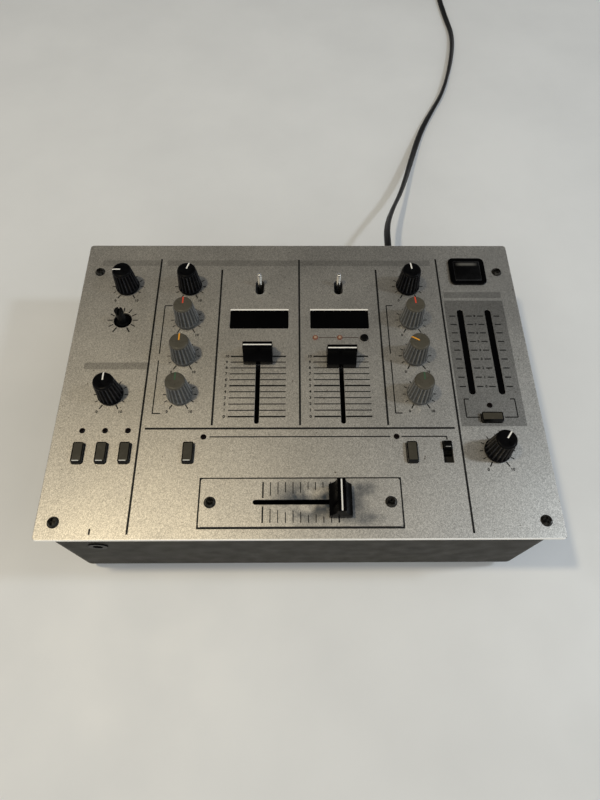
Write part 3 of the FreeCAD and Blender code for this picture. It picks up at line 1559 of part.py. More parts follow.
def tangent_arc(start, direction, end):
    """The arc that leaves start along direction and reaches end."""
    chord = end - start
    sideways = chord - direction * chord.dot(direction)
    if sideways.Length < 1e-9:
        return Part.LineSegment(start, end).toShape()
    sideways.normalize()
    radius = chord.dot(chord) / (2 * chord.dot(sideways))
    centre = start + sideways * radius
    outward = ((start - centre) + (end - centre)).normalize()
    return Part.Arc(start, centre + outward * radius, end).toShape()


def biarc(start, start_direction, end, end_direction):
    """Two arcs with equal tangents that join two points with given directions."""
    gap = end - start
    both = start_direction + end_direction
    square = 2 * (1 - start_direction.dot(end_direction))
    linear = 2 * gap.dot(both)
    tangent = (math.sqrt(linear**2 + 4 * square * gap.dot(gap)) - linear) / (2 * square)
    joint = (start + start_direction * tangent + end - end_direction * tangent) / 2
    second = tangent_arc(end, end_direction * -1, joint)
    return [tangent_arc(start, start_direction, joint), second]


coil_edges = [Part.LineSegment(CORD_ROUTE[-1], coil_start).toShape()]
for number in range(int(COIL_END / QUARTER)):
    low, high = number * QUARTER, (number + 1) * QUARTER
    coil_edges += biarc(coil_point(low), coil_direction(low), coil_point(high), coil_direction(high))
coil_finish = coil_point(COIL_END) - Vector(value("coil_tail"), 0, 0)
coil_edges.append(Part.LineSegment(coil_point(COIL_END), coil_finish).toShape())
coil_shape = swept_tube(coil_edges, CORD_ROUTE[-1], Vector(0, 1, 0))
report_tube("cord coil", coil_shape, coil_edges)

SAMPLE_STEP = 5.0
samples = [coil_point(SAMPLE_STEP * number) for number in range(int(COIL_END / SAMPLE_STEP) + 1)]
APART = int(CLIMB / SAMPLE_STEP)
least = min(
    (one - other).Length for index, one in enumerate(samples) for other in samples[index + APART :]
)
print(f"cord coil: least gap to itself {least - value('cord_diameter'):.2f} mm")
cord_coil = doc.addObject("Part::Feature", "cord_coil")
cord_coil.Shape = coil_shape
node("mains_cord_coil", cord_coil)

plug_y, plug_z = f"{coil_finish.y}", f"{coil_finish.z}"
NECK_END = f"({coil_finish.x} - plug_neck_length)"
PLUG_END = f"({NECK_END} - plug_length)"
plug_neck = taper(
    "plug_neck", "plug_neck_diameter", "cord_diameter + 2", (NECK_END, f"{coil_finish.x}"), plug_y, plug_z
)
plug_block = block(
    "plug_block", (PLUG_END, NECK_END), about(plug_y, "plug_width"), about(plug_z, f"2 * {plug_z}")
)
blades = []
for side in SIDES:
    spread = about(f"{plug_y} + {side} * blade_spacing / 2", "blade_thickness")
    reach = (f"{PLUG_END} - blade_length", PLUG_END)
    blades.append(block(f"plug_blade_{len(blades)}", reach, spread, about(plug_z, "blade_height")))
node("mains_plug", group("plug_group", [join("plug_body", [plug_neck, plug_block])] + blades))

# Every object has to be sound before anything is written

doc.recompute()
for item in doc.Objects:
    assert not {"Invalid", "Error"} & set(item.State), f"{item.Name} is {item.State}"
for item in NODES:
    assert not item.Shape.isNull() and item.Shape.isValid(), f"{item.Label} has no sound shape"
os.makedirs("parts", exist_ok=True)
for item in NODES:
    item.Shape.exportStep(f"parts/{item.Label}.step")
print(f"{len(NODES)} sub-parts written")
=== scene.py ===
import math

import bmesh
import bpy
import numpy as np
from mathutils import Matrix, Vector


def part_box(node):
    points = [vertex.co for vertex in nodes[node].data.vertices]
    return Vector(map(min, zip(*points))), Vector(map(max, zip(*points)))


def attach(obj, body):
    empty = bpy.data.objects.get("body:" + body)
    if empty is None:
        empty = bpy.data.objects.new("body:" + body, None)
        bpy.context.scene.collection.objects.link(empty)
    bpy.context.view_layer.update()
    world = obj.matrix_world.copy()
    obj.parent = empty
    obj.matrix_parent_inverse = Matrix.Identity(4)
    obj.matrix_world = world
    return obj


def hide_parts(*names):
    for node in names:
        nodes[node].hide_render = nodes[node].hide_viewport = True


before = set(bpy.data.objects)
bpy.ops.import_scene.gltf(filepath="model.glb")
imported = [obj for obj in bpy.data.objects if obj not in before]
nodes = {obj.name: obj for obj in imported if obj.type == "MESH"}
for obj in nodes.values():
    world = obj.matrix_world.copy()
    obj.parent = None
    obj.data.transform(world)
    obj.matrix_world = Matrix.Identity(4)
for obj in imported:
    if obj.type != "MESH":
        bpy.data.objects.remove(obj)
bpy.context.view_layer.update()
scene = bpy.context.scene

# Camera: a phone held over the player's edge of the table and pointed steeply down.
# Its lens is the phone's plain one, and the picture is 600 by 800.
MM = 0.001
EYE = Vector((-3.767, -193.73, 432.04)) * MM
LOOK_DOWN = math.radians(63.176)
LOOK_TURN = math.radians(-1.262)
LOOK_ROLL = math.radians(1.02)
FOCAL_PIXELS = 575.5
PICTURE_HEIGHT = 800
SENSOR = 36.0

across = Vector((math.cos(LOOK_TURN), math.sin(LOOK_TURN), 0))
ahead = Vector((-math.sin(LOOK_TURN), math.cos(LOOK_TURN), 0))
upward = Vector((0, 0, 1))
gaze = ahead * math.cos(LOOK_DOWN) - upward * math.sin(LOOK_DOWN)
crown = ahead * math.sin(LOOK_DOWN) + upward * math.cos(LOOK_DOWN)
camera_axes = Matrix(
    (
        across * math.cos(LOOK_ROLL) + crown * math.sin(LOOK_ROLL),
        crown * math.cos(LOOK_ROLL) - across * math.sin(LOOK_ROLL),
        -gaze,
    )
).transposed()
camera_data = bpy.data.cameras.new("camera")
camera_data.sensor_width = SENSOR
camera_data.lens = FOCAL_PIXELS / PICTURE_HEIGHT * SENSOR
camera_data.clip_start = 10 * MM
camera = bpy.data.objects.new("camera", camera_data)
camera.matrix_world = Matrix.Translation(EYE) @ camera_axes.to_4x4()
scene.collection.objects.link(camera)
scene.camera = camera
scene.view_settings.view_transform = "Standard"

# Room and lamps: pale walls in front and at the sides, and a dim ceiling behind, which the silver panel
# mirrors. A low band all round is the pale backdrop. A warm lamp hangs high at the front left, and a cooler
# one stands lower on the right.
DIM_SIDE = (0.0, 0.77, 0.64)
ROOM_TONES = ((0.0, 0.84), (0.3, 0.71), (0.55, 0.405), (0.75, 0.1), (1.0, 0.0))
ROOM_SIDES = (
    (0.0, (0.95, 0.9, 0.79)),
    (0.25, (0.96, 0.93, 0.85)),
    (0.5, (1.13, 1.12, 1.06)),
    (0.75, (0.83, 0.85, 0.84)),
    (1.0, (0.77, 0.81, 0.83)),
)
ROOM_REACH = 0.8
BACKDROP = (0.49, 0.49, 0.48)
BACKDROP_RISE = (0.3, 0.44)
LAMPS = (
    ("warm_lamp", (-0.44, -0.1, 1.25), 0.08, 4.8, (1.0, 0.84, 0.56)),
    ("cool_lamp", (0.9, -0.05, 1.0), 0.12, 3.6, (0.84, 0.93, 1.0)),
)

# Sockets of a Mix node that mixes colours
MIX_SHARE = 0
MIX_BELOW = 6
MIX_OVER = 7
MIX_RESULT = 2


def feed(tree, node, entries):
    """Links a node's inputs, given by name or number, to sockets, or sets them to plain values."""
    for entry, value in entries.items():
        if isinstance(value, bpy.types.NodeSocket):
            tree.links.new(value, node.inputs[entry])
        else:
            node.inputs[entry].default_value = value


def add_node(tree, kind, entries, **settings):
    """A new node of a kind, with its settings made and its inputs fed."""
    node = tree.nodes.new(kind)
    for setting, value in settings.items():
        setattr(node, setting, value)
    feed(tree, node, entries)
    return node


def graded(tree, value, stops):
    """The colour of a value on a scale of stops, each a position and a colour."""
    scale = add_node(tree, "ShaderNodeValToRGB", {0: value})
    elements = scale.color_ramp.elements
    while len(elements) < len(stops):
        elements.new(1.0)
    for stop, (position, colour) in zip(elements, stops):
        stop.position = position
        stop.color = (*colour, 1)
    return scale.outputs["Color"]


def between(tree, value, low, high, start=0.0, end=1.0):
    """A value carried from the range low to high into the range start to end, and kept inside it."""
    entries = dict(enumerate((value, low, high, start, end)))
    return add_node(tree, "ShaderNodeMapRange", entries).outputs[0]


def laid_over(tree, below, over, share, blend="MIX"):
    """The colour over laid on the colour below by a share from 0 to 1: each is a socket or a plain value."""
    entries = {MIX_SHARE: share, MIX_BELOW: below, MIX_OVER: over}
    return add_node(tree, "ShaderNodeMix", entries, data_type="RGBA", blend_type=blend).outputs[MIX_RESULT]


room = bpy.data.worlds.new("room")
scene.world = room
room.use_nodes = True
sky = room.node_tree
direction = sky.nodes.new("ShaderNodeTexCoord").outputs["Generated"]
toward_dim = add_node(sky, "ShaderNodeVectorMath", {0: direction, 1: DIM_SIDE}, operation="DOT_PRODUCT")
tones = [(position, (tone, tone, tone)) for position, tone in ROOM_TONES]
wall_tone = graded(sky, toward_dim.outputs["Value"], tones)
heading = add_node(sky, "ShaderNodeSeparateXYZ", {0: direction}).outputs
side_tint = graded(sky, between(sky, heading["X"], -ROOM_REACH, ROOM_REACH), ROOM_SIDES)
tinted = add_node(sky, "ShaderNodeVectorMath", {0: wall_tone, 1: side_tint}, operation="MULTIPLY").outputs[0]
low_down = between(sky, heading["Z"], *BACKDROP_RISE, 1.0, 0.0)
feed(sky, sky.nodes["Background"], {"Color": laid_over(sky, tinted, (*BACKDROP, 1), low_down)})
for name, place, size, power, colour in LAMPS:
    lamp_data = bpy.data.lights.new(name, "AREA")
    lamp_data.shape = "DISK"
    lamp_data.size = size
    lamp_data.energy = power
    lamp_data.color = colour
    lamp = bpy.data.objects.new(name, lamp_data)
    lamp.location = place
    lamp.rotation_euler = (-Vector(place)).to_track_quat("-Z", "Y").to_euler()
    scene.collection.objects.link(lamp)

# Table: a pale laminate top, far wider than the picture.
# It lies just under the rubber feet, and is the floor that the object stands on.
TABLE_WIDTH = 8000.0
TABLE_LEVELS = (-20.0, -0.02)
TABLE_TONE = (0.79, 0.81, 0.84)
TABLE_SHADE = (0.74, 0.76, 0.79)
BLOTCH_EDGES = (0.35, 0.7)
BLOTCH_DETAIL = 8.0
SHEEN_EDGES = (0.3, 0.7)
GRAIN_DETAIL = 2.0
MERGE = 0.0001


def soft_noise(tree, place, size, detail=4.0):
    """The value of a noise whose lumps are about size millimetres wide."""
    entries = {"Vector": place, "Scale": 1 / (size * MM), "Detail": detail}
    return add_node(tree, "ShaderNodeTexNoise", entries).outputs["Fac"]


def finish(name, colour, shade, rough, grain, relief, metallic=0.0, blotch=25.0, gloss=0.5):
    """A surface whose colour drifts from colour to shade over soft blotches, with a raised grain.

    The roughness drifts between the two values of rough over blotches half as wide. The grain's width, the
    relief's height and the blotches' width are in millimetres. Gloss is the strength of the shine, and 0.5 is
    that of a plain varnish.
    """
    material = bpy.data.materials.new(name)
    material.use_nodes = True
    tree = material.node_tree
    place = tree.nodes.new("ShaderNodeTexCoord").outputs["Object"]
    blotches = soft_noise(tree, place, blotch, BLOTCH_DETAIL)
    sheen = soft_noise(tree, place, blotch / 2)
    height = soft_noise(tree, place, grain, GRAIN_DETAIL)
    bump = add_node(tree, "ShaderNodeBump", {"Distance": relief * MM, "Height": height})
    entries = {
        "Base Color": graded(tree, blotches, tuple(zip(BLOTCH_EDGES, (colour, shade)))),
        "Metallic": metallic,
        "Roughness": between(tree, sheen, *SHEEN_EDGES, *rough),
        "Specular IOR Level": gloss,
        "Normal": bump.outputs[0],
    }
    feed(tree, tree.nodes["Principled BSDF"], entries)
    return material


def shell(name, grids, crease=40.0, looped=False):
    """A mesh from grids of points, each given as (points, material number).

    The last three axes of points are rows, columns and coordinates, and an axis before them counts copies.
    Each row's columns close into a ring, and rows are joined by four-cornered faces. The first and last rows
    close to their own middles, or to each other where looped is true. Points that coincide are merged. The
    material number may be an array with one number for each face.
    """
    every_point, every_face, numbers = [], [], []
    first = 0
    for points, number in grids:
        points = points.reshape(-1, *points.shape[-3:])
        columns = points.shape[2]
        if looped:
            points = np.concatenate([points, points[:, :1]], axis=1)
        else:
            ends = [points[:, row].mean(axis=1)[:, None, None].repeat(columns, axis=2) for row in (0, -1)]
            points = np.concatenate([ends[0], points, ends[1]], axis=1)
        index = first + np.arange(points[..., 0].size).reshape(points.shape[:3])
        beside = np.roll(index, -1, axis=2)
        faces = np.stack([index[:, :-1], beside[:, :-1], beside[:, 1:], index[:, 1:]], axis=-1)
        every_point.append(points.reshape(-1, 3))
        every_face.append(faces.reshape(-1, 4))
        numbers.append(np.broadcast_to(number, faces.shape[:3]).ravel())
        first += points[..., 0].size
    mesh = bpy.data.meshes.new(name)
    mesh.from_pydata(np.concatenate(every_point).tolist(), [], np.concatenate(every_face).tolist())
    mesh.polygons.foreach_set("material_index", np.concatenate(numbers))
    return closed(mesh, crease)


def closed(mesh, crease):
    """Merges a mesh's coinciding points and turns its faces outwards.

    Only edges whose faces meet at more than crease degrees stay sharp.
    """
    work = bmesh.new()
    work.from_mesh(mesh)
    bmesh.ops.remove_doubles(work, verts=work.verts, dist=MERGE * MM)
    bmesh.ops.dissolve_degenerate(work, edges=work.edges, dist=MERGE * MM)
    bmesh.ops.recalc_face_normals(work, faces=work.faces)
    work.to_mesh(mesh)
    work.free()
    mesh.shade_smooth()
    mesh.set_sharp_from_angle(angle=math.radians(crease))
    return mesh


def slabs(table, low, high):
    """Thin boxes as two-row grids between two levels, in metres.

    Each line of table is x, y, width and depth in millimetres and a turn in degrees.
    """
    table = np.array(table, float).reshape(-1, 5)
    corners = np.array([(-0.5, -0.5), (0.5, -0.5), (0.5, 0.5), (-0.5, 0.5)]) * table[:, None, 2:4]
    turn = np.radians(table[:, 4])[:, None]
    x = table[:, None, 0] + corners[..., 0] * np.cos(turn) - corners[..., 1] * np.sin(turn)
    y = table[:, None, 1] + corners[..., 0] * np.sin(turn) + corners[..., 1] * np.cos(turn)
    rows = [np.stack([x, y, np.full_like(x, level)], axis=-1) for level in (low, high)]
    return np.stack(rows, axis=1) * MM


table_finish = finish("table_laminate", TABLE_TONE, TABLE_SHADE, (0.45, 0.55), 1.2, 0.01, blotch=90.0)
table_top = slabs([(0, 0, TABLE_WIDTH, TABLE_WIDTH, 0)], *TABLE_LEVELS)
table_mesh = shell("table", [(table_top, 0)])
table_mesh.materials.append(table_finish)
table = bpy.data.objects.new("table", table_mesh)
scene.collection.objects.link(table)

# Case: a folded steel tray with a powder coat of dark charcoal, closed at the top by the panel.
# The rear is a separate black plate behind its own screws.
case_coat = finish(
    "case_powder_coat", (0.018, 0.0155, 0.0105), (0.014, 0.012, 0.0085), (0.5, 0.62), 0.5, 0.03, gloss=0.2
)
rear_coat = finish(
    "rear_powder_coat", (0.02, 0.02, 0.022), (0.015, 0.015, 0.017), (0.48, 0.6), 0.45, 0.03, gloss=0.4
)
# The blackened screws run to lighter patches about 1.6 mm wide: partly uneven blackening, partly painted
# glints.
screw_black = finish(
    "blackened_screws", (0.003, 0.003, 0.003), (0.07, 0.067, 0.06), (0.16, 0.26), 0.4, 0.02, 0.7, 1.6, 0.2
)


def dress(material, *names):
    """Gives CAD nodes a finish in place of their plain one."""
    for name in names:
        nodes[name].data.materials.clear()
        nodes[name].data.materials.append(material)


dress(case_coat, "case_shell")
dress(rear_coat, "rear_panel")
dress(screw_black, "case_screws", "panel_screws")

# Feet: four tapered buttons of moulded black rubber.
# Each is held under the case by a screw up its recess.
foot_rubber = finish("foot_rubber", (0.028, 0.028, 0.028), (0.04, 0.039, 0.038), (0.75, 0.9), 0.7, 0.05)
dress(foot_rubber, "rubber_feet")

# Works inside the case: two boards on brass posts, the transformer, and the controls' own bodies.
# They are plated steel, lacquered laminate and black moulded plastic.
solder_mask = finish(
    "solder_mask", (0.03, 0.15, 0.06), (0.045, 0.2, 0.085), (0.3, 0.42), 0.9, 0.03, blotch=3.0
)
post_brass = finish("turned_brass", (0.6, 0.45, 0.18), (0.5, 0.36, 0.14), (0.25, 0.4), 0.3, 0.01, 1.0, 6.0)
core_steel = finish("varnished_core", (0.24, 0.22, 0.2), (0.16, 0.13, 0.1), (0.35, 0.55), 0.5, 0.04, 0.6, 8.0)
plated_steel = finish(
    "plated_steel", (0.55, 0.55, 0.54), (0.46, 0.46, 0.46), (0.28, 0.42), 0.4, 0.01, 1.0, 6.0
)
# Painted shade: parts seen only down holes and slots are near black, partly their finish and partly shade.
black_steel_and_shade = finish(
    "black_zinc_and_shade", (0.002, 0.002, 0.002), (0.004, 0.004, 0.005), (0.4, 0.55), 0.4, 0.01, 0.1, 6.0, 0.05
)
body_plastic = finish("switch_plastic", (0.012, 0.012, 0.013), (0.02, 0.02, 0.021), (0.45, 0.6), 0.3, 0.02)
dress(solder_mask, "control_board", "main_board")
dress(post_brass, "board_standoffs")
dress(core_steel, "power_transformer")
dress(black_steel_and_shade, "rotary_pots", "channel_fader_frames", "crossfader_frame")
dress(plated_steel, "ch1_fader_carriage", "ch2_fader_carriage", "crossfader_carriage")
dress(body_plastic, "toggle_switch_bodies", "key_switches", "power_switch_body", "selector_switch_body")
dress(body_plastic, "display_modules")

# Sockets: phono barrels of bright nickel with a coloured collar, white for left and red for right,
# black plug sockets with a plain mouth, and a knurled ground screw.
PHONO_FIRST = -85.0
PHONO_PITCH = 20.0
PHONO_COUNT = 6
PHONO_LEVELS = (34.1, 50.1)
PHONO_FACE = 99.5
PHONO_RING = ((4.25, 0.0), (5.3, 0.0), (5.3, 1.2), (5.0, 1.7), (4.4, 1.7), (4.25, 1.4))
RING_COLUMNS = 40

nickel = finish("bright_nickel", (0.7, 0.67, 0.61), (0.62, 0.58, 0.52), (0.14, 0.28), 0.5, 0.004, 1.0, 5.0)
socket_black = finish(
    "socket_plastic", (0.005, 0.005, 0.0055), (0.009, 0.009, 0.01), (0.3, 0.45), 0.3, 0.02, gloss=0.1
)
collar_white = finish(
    "collar_white", (0.72, 0.71, 0.68), (0.66, 0.65, 0.6), (0.35, 0.5), 0.3, 0.01, blotch=3.0
)
collar_red = finish(
    "collar_red", (0.5, 0.03, 0.025), (0.42, 0.025, 0.02), (0.35, 0.5), 0.3, 0.01, blotch=3.0
)
dress(nickel, "rca_jacks", "ground_terminal")
dress(socket_black, "phone_jacks", "control_jacks")


def turned(profile, columns):
    """A profile of (radius, height) pairs turned about Z: a ring of columns points for each pair."""
    profile = np.array(profile, float)
    angle = np.linspace(0, 2 * np.pi, columns, endpoint=False)
    x = profile[:, :1] * np.cos(angle)
    y = profile[:, :1] * np.sin(angle)
    z = profile[:, 1:2] + 0 * angle
    return np.stack([x, y, z], axis=-1)


def fit(name, mesh, materials, body, stands_for=()):
    """Puts a finished mesh into the scene as a piece that rides on a body."""
    for material in materials:
        mesh.materials.append(material)
    piece = bpy.data.objects.new(name, mesh)
    scene.collection.objects.link(piece)
    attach(piece, body)
    if stands_for:
        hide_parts(*stands_for)
    return piece


def facing_rear(points, x, level, face):
    """Lays a shape turned about Z along +Y, with its foot on a face at the rear."""
    return np.stack([points[..., 0] + x, points[..., 2] + face, level - points[..., 1]], axis=-1)


phono_places = [PHONO_FIRST + PHONO_PITCH * number for number in range(PHONO_COUNT)]
phono_ring = turned(PHONO_RING, RING_COLUMNS)
collars = []
for number, level in enumerate(PHONO_LEVELS):
    rings = np.stack([facing_rear(phono_ring, x, level, PHONO_FACE) for x in phono_places])
    collars.append((rings * MM, number))
collar_mesh = shell("phono_collars", collars, looped=True)
fit("phono_collars", collar_mesh, [collar_red, collar_white], "housing")

# Mains lead: a soft black twin lead of oval section, about 2 m long, that twists as it lies on the table.
# The length out of the picture is wound into a coil with a tie, and ends in a moulded two-blade plug.
LEAD_WIDTH = 6.0
LEAD_THICKNESS = 4.3
LEAD_COLUMNS = 20
LEAD_ROUTE = (
    (78, 131.5, 46),
    (78, 154, 46),
    (80, 180, 39.5),
    (88, 209, 29),
    (103.5, 249, 17),
    (119, 302, 7.5),
    (134.5, 352, 3.6),
    (150.5, 386, 3),
    (166, 416, 3),
    (178, 454, 3),
    (187.5, 494, 3),
    (192, 530, 3),
    (188, 565, 3),
    (185, 598, 3),
    (184.5, 629, 3),
    (184.5, 660, 3),
)
COIL_MIDDLE = (138.907, 666.0)
COIL_INNER = 24.0
COIL_STEP = 6.9
COIL_HALF_SWEEP = 1125.0
COIL_TURN_OVER = 60.0
COIL_CLIMB = 180.0
COIL_POINTS_PER_TURN = 24
LEAD_REST = 3.0
TAIL_END = (114.907, 711.593, 9.9)
TAIL_RUN = (12.0, 0.0, -6.0)
TWISTS = 2.5
LEAD_NODES = ("mains_cord_run", "mains_cord_coil")
SPLINE_ORDER = 3
SPLINE_STEPS = 6
GROOVE_DEPTH = 0.2
GROOVE_WIDTH = 0.3
LYING_BELOW = 4.0
HANGING_ABOVE = 7.0

lead_black = finish(
    "lead_vinyl", (0.006, 0.006, 0.007), (0.01, 0.01, 0.011), (0.36, 0.5), 1.5, 0.03, blotch=12.0, gloss=0.25
)


def coil_points():
    """Control points of the coil: a spiral that winds in, climbs by one step and winds out on top.

    The radius is the inner radius plus the step times the turns from the middle, rounded off near the middle.
    The height is a smooth step over half a turn.
    """
    count = round(2 * COIL_HALF_SWEEP / 360 * COIL_POINTS_PER_TURN) + 1
    sweep = np.linspace(0, 2 * COIL_HALF_SWEEP, count)
    radius = COIL_INNER + COIL_STEP * np.hypot(sweep - COIL_HALF_SWEEP, COIL_TURN_OVER) / 360
    climb = np.clip((sweep - COIL_HALF_SWEEP) / COIL_CLIMB + 0.5, 0, 1)
    x = COIL_MIDDLE[0] + radius * np.cos(np.radians(sweep))
    y = COIL_MIDDLE[1] + radius * np.sin(np.radians(sweep))
    z = LEAD_REST + COIL_STEP * climb * climb * (3 - 2 * climb)
    return np.stack([x, y, z], axis=-1)


def drawn(curve):
    """The mesh that Blender draws for a curve, which is then dropped."""
    holder = bpy.data.objects.new(curve.name, curve)
    mesh = bpy.data.meshes.new_from_object(holder)
    bpy.data.objects.remove(holder)
    bpy.data.curves.remove(curve)
    return mesh


def along_spline(control_points):
    """Points on the smooth spline that has these control points, in metres, as Blender draws it."""
    curve = bpy.data.curves.new("lead_route", "CURVE")
    curve.dimensions = "3D"
    curve.resolution_u = SPLINE_STEPS
    spline = curve.splines.new("NURBS")
    spline.points.add(len(control_points) - 1)
    weights = np.ones((len(control_points), 1))
    spline.points.foreach_set("co", np.hstack([control_points * MM, weights]).ravel())
    spline.order_u = SPLINE_ORDER
    spline.use_endpoint_u = True
    mesh = drawn(curve)
    path = np.empty(len(mesh.vertices) * 3)
    mesh.vertices.foreach_get("co", path)
    bpy.data.meshes.remove(mesh)
    return path.reshape(-1, 3)


def oval_tube(path, twist, width, thickness, columns):
    """An oval section carried along a path, turned by twist about it, with a groove along each flat side.

    At each point the section's axes are level across the path and square to that. A groove is a bell curve
    of the angle. Where the lead lies on the table, the section is lowered until it touches.
    """
    forward = np.gradient(path, axis=0)
    forward /= np.linalg.norm(forward, axis=1, keepdims=True)
    side = np.cross(forward, (0.0, 0.0, 1.0))
    side /= np.linalg.norm(side, axis=1, keepdims=True)
    rise = np.cross(side, forward)
    angle = np.linspace(0, 2 * np.pi, columns, endpoint=False)
    groove = 1 - GROOVE_DEPTH * np.exp(-((np.cos(angle) / GROOVE_WIDTH) ** 2))
    wide = width / 2 * np.cos(angle)
    deep = thickness / 2 * np.sin(angle) * groove
    cosine = np.cos(twist)[:, None]
    sine = np.sin(twist)[:, None]
    level = wide * cosine - deep * sine
    high = wide * sine + deep * cosine
    lift = np.hypot(width / 2 * np.sin(twist), thickness / 2 * np.cos(twist)) - width / 2
    lying = np.clip((HANGING_ABOVE - path[:, 2] / MM) / (HANGING_ABOVE - LYING_BELOW), 0, 1)
    centre = path + (lift * lying)[:, None] * np.array((0.0, 0.0, 1.0))
    return centre[:, None] + level[..., None] * side[:, None] + high[..., None] * rise[:, None]


def fit_grid(piece, grid, material, body, stands_for=(), looped=False):
    """Fits a piece that is one grid of points, in metres, in one finish."""
    return fit(piece, shell(piece, [(grid, 0)], looped=looped), [material], body, stands_for)


tail_points = np.array([(TAIL_END[0] + run, *TAIL_END[1:]) for run in TAIL_RUN])
lead_path = along_spline(np.vstack([LEAD_ROUTE, coil_points(), tail_points]))
gone = np.concatenate([[0], np.cumsum(np.linalg.norm(np.diff(lead_path, axis=0), axis=1))])
in_run = gone[np.argmax(lead_path[:, 1] > LEAD_ROUTE[-1][1] * MM)]
lead_twist = TWISTS * np.pi * np.clip(gone / in_run, 0, 1)
lead_tube = oval_tube(lead_path, lead_twist, LEAD_WIDTH * MM, LEAD_THICKNESS * MM, LEAD_COLUMNS)
lead = fit_grid("mains_lead", lead_tube, lead_black, "housing", LEAD_NODES)

# Strain relief: a sleeve of soft moulded vinyl, with ribs that let it bend with the lead.
# It sits in a hole of the rear panel, with a flange against the panel's face.
GLAND_MIDDLE = (78.0, 46.0)
GLAND_FACE = 99.5
GLAND_LENGTH = 32.0
GLAND_ROOT = 6.9
GLAND_TIP = 4.4
GLAND_RIBS = 7
GLAND_RIB_DEPTH = 1.1
GLAND_FLANGE = ((5.9, -4.4), (5.9, 0.02), (8.3, 0.02), (8.5, 0.3), (8.5, 2.5), (8.1, 3.0), (6.95, 3.0))
GLAND_STEPS = 85

along_sleeve = np.linspace(0, 1, GLAND_STEPS)
rib_wave = 0.5 - 0.5 * np.cos(2 * np.pi * GLAND_RIBS * along_sleeve)
sleeve_radius = GLAND_ROOT + (GLAND_TIP - GLAND_ROOT) * along_sleeve - GLAND_RIB_DEPTH * np.sqrt(rib_wave)
flange_top = GLAND_FLANGE[-1][1]
sleeve_height = flange_top + (GLAND_LENGTH - flange_top) * along_sleeve
gland_profile = list(GLAND_FLANGE) + list(np.stack([sleeve_radius, sleeve_height], axis=-1)[1:])
gland_points = facing_rear(turned(gland_profile, RING_COLUMNS), *GLAND_MIDDLE, GLAND_FACE)
gland = fit_grid("strain_relief", gland_points * MM, lead_black, "housing", ("cord_gland",))

# Plug: a body of soft vinyl with a ribbed neck and thumb hollows, moulded onto the lead's end.
# Two flat nickelled blades stand out of its face.
PLUG_MIDDLE = (711.593, 9.9)
PLUG_STATIONS = (
    (114.9, 4.2, 4.2, 2.0),
    (114.6, 4.9, 4.9, 2.0),
    (111.5, 5.3, 5.2, 2.0),
    (110.9, 4.6, 4.5, 2.0),
    (109.4, 4.7, 4.6, 2.0),
    (108.8, 5.6, 5.4, 2.1),
    (106.3, 5.8, 5.6, 2.1),
    (105.7, 5.0, 4.8, 2.1),
    (104.2, 5.2, 5.0, 2.1),
    (103.5, 6.4, 5.8, 2.2),
    (100.9, 7.6, 6.3, 2.4),
    (98.0, 10.2, 7.6, 3.0),
    (94.5, 11.9, 9.2, 3.6),
    (90.0, 12.3, 9.7, 4.0),
    (86.5, 11.6, 9.0, 4.0),
    (82.0, 11.4, 8.8, 4.0),
    (78.0, 12.1, 9.5, 4.0),
    (74.5, 12.5, 9.9, 4.4),
    (72.2, 12.5, 9.9, 4.4),
    (71.2, 12.1, 9.5, 4.4),
    (70.91, 11.2, 8.6, 4.2),
)
PLUG_COLUMNS = 56
PLUG_CREASE = 50.0
BLADE_OFFSETS = (-6.35, 6.35)
BLADE_TIP = 53.92
BLADE_ROOT = 74.0
BLADE_HALF = (0.75, 3.15)
BLADE_NARROWING = ((3.0, 1.0), (0.6, 0.75), (0.0, 0.45))
BLADE_LEAST = 0.4


def plug_body(stations):
    """Rounded rectangles along -X: each station is x, half width, half depth and the power of its curve.

    A rectangle's outline is the curve whose two shares, each to that power, add up to 1.
    """
    table = np.array(stations)
    angle = np.linspace(0, 2 * np.pi, PLUG_COLUMNS, endpoint=False)
    cosine, sine, power = np.cos(angle), np.sin(angle), 2 / table[:, 3:4]
    y = PLUG_MIDDLE[0] + table[:, 1:2] * np.sign(cosine) * np.abs(cosine) ** power
    z = PLUG_MIDDLE[1] + table[:, 2:3] * np.sign(sine) * np.abs(sine) ** power
    x = table[:, :1] + 0 * angle
    return np.stack([x, y, z], axis=-1)


def blade(offset):
    """A flat blade along -X: its section narrows to the tip, and more in width than in thickness."""
    tip = [(BLADE_TIP + run, share) for run, share in BLADE_NARROWING]
    stations = np.array([(BLADE_ROOT, 1.0)] + tip)
    corners = np.array([(-1, -1), (1, -1), (1, 1), (-1, 1)]) * BLADE_HALF
    y = PLUG_MIDDLE[0] + offset + corners[:, 0] * (BLADE_LEAST + (1 - BLADE_LEAST) * stations[:, 1:])
    z = PLUG_MIDDLE[1] + corners[:, 1] * stations[:, 1:]
    return np.stack([stations[:, :1] + 0 * y, y, z], axis=-1)


plug_shape = [(plug_body(PLUG_STATIONS) * MM, 0)]
plug_shape += [(blade(offset) * MM, 1) for offset in BLADE_OFFSETS]
plug_mesh = shell("plug", plug_shape, PLUG_CREASE)
plug = fit("plug", plug_mesh, [lead_black, nickel], "housing", ("mains_plug",))

# Coil tie: a flat strap of black vinyl, wound once round all the turns of the put-away lead.
# It is a rounded loop of one thickness.
TIE_TURN = 205.0
TIE_RADII = (20.4, 49.2)
TIE_LEVELS = (0.35, 13.5)
TIE_CORNER = 3.0
TIE_HALF_WIDTH = 3.0
TIE_THICKNESS = 0.6
TIE_HALF = (14.4, 6.6)
TIE_CORNER_STEPS = 8


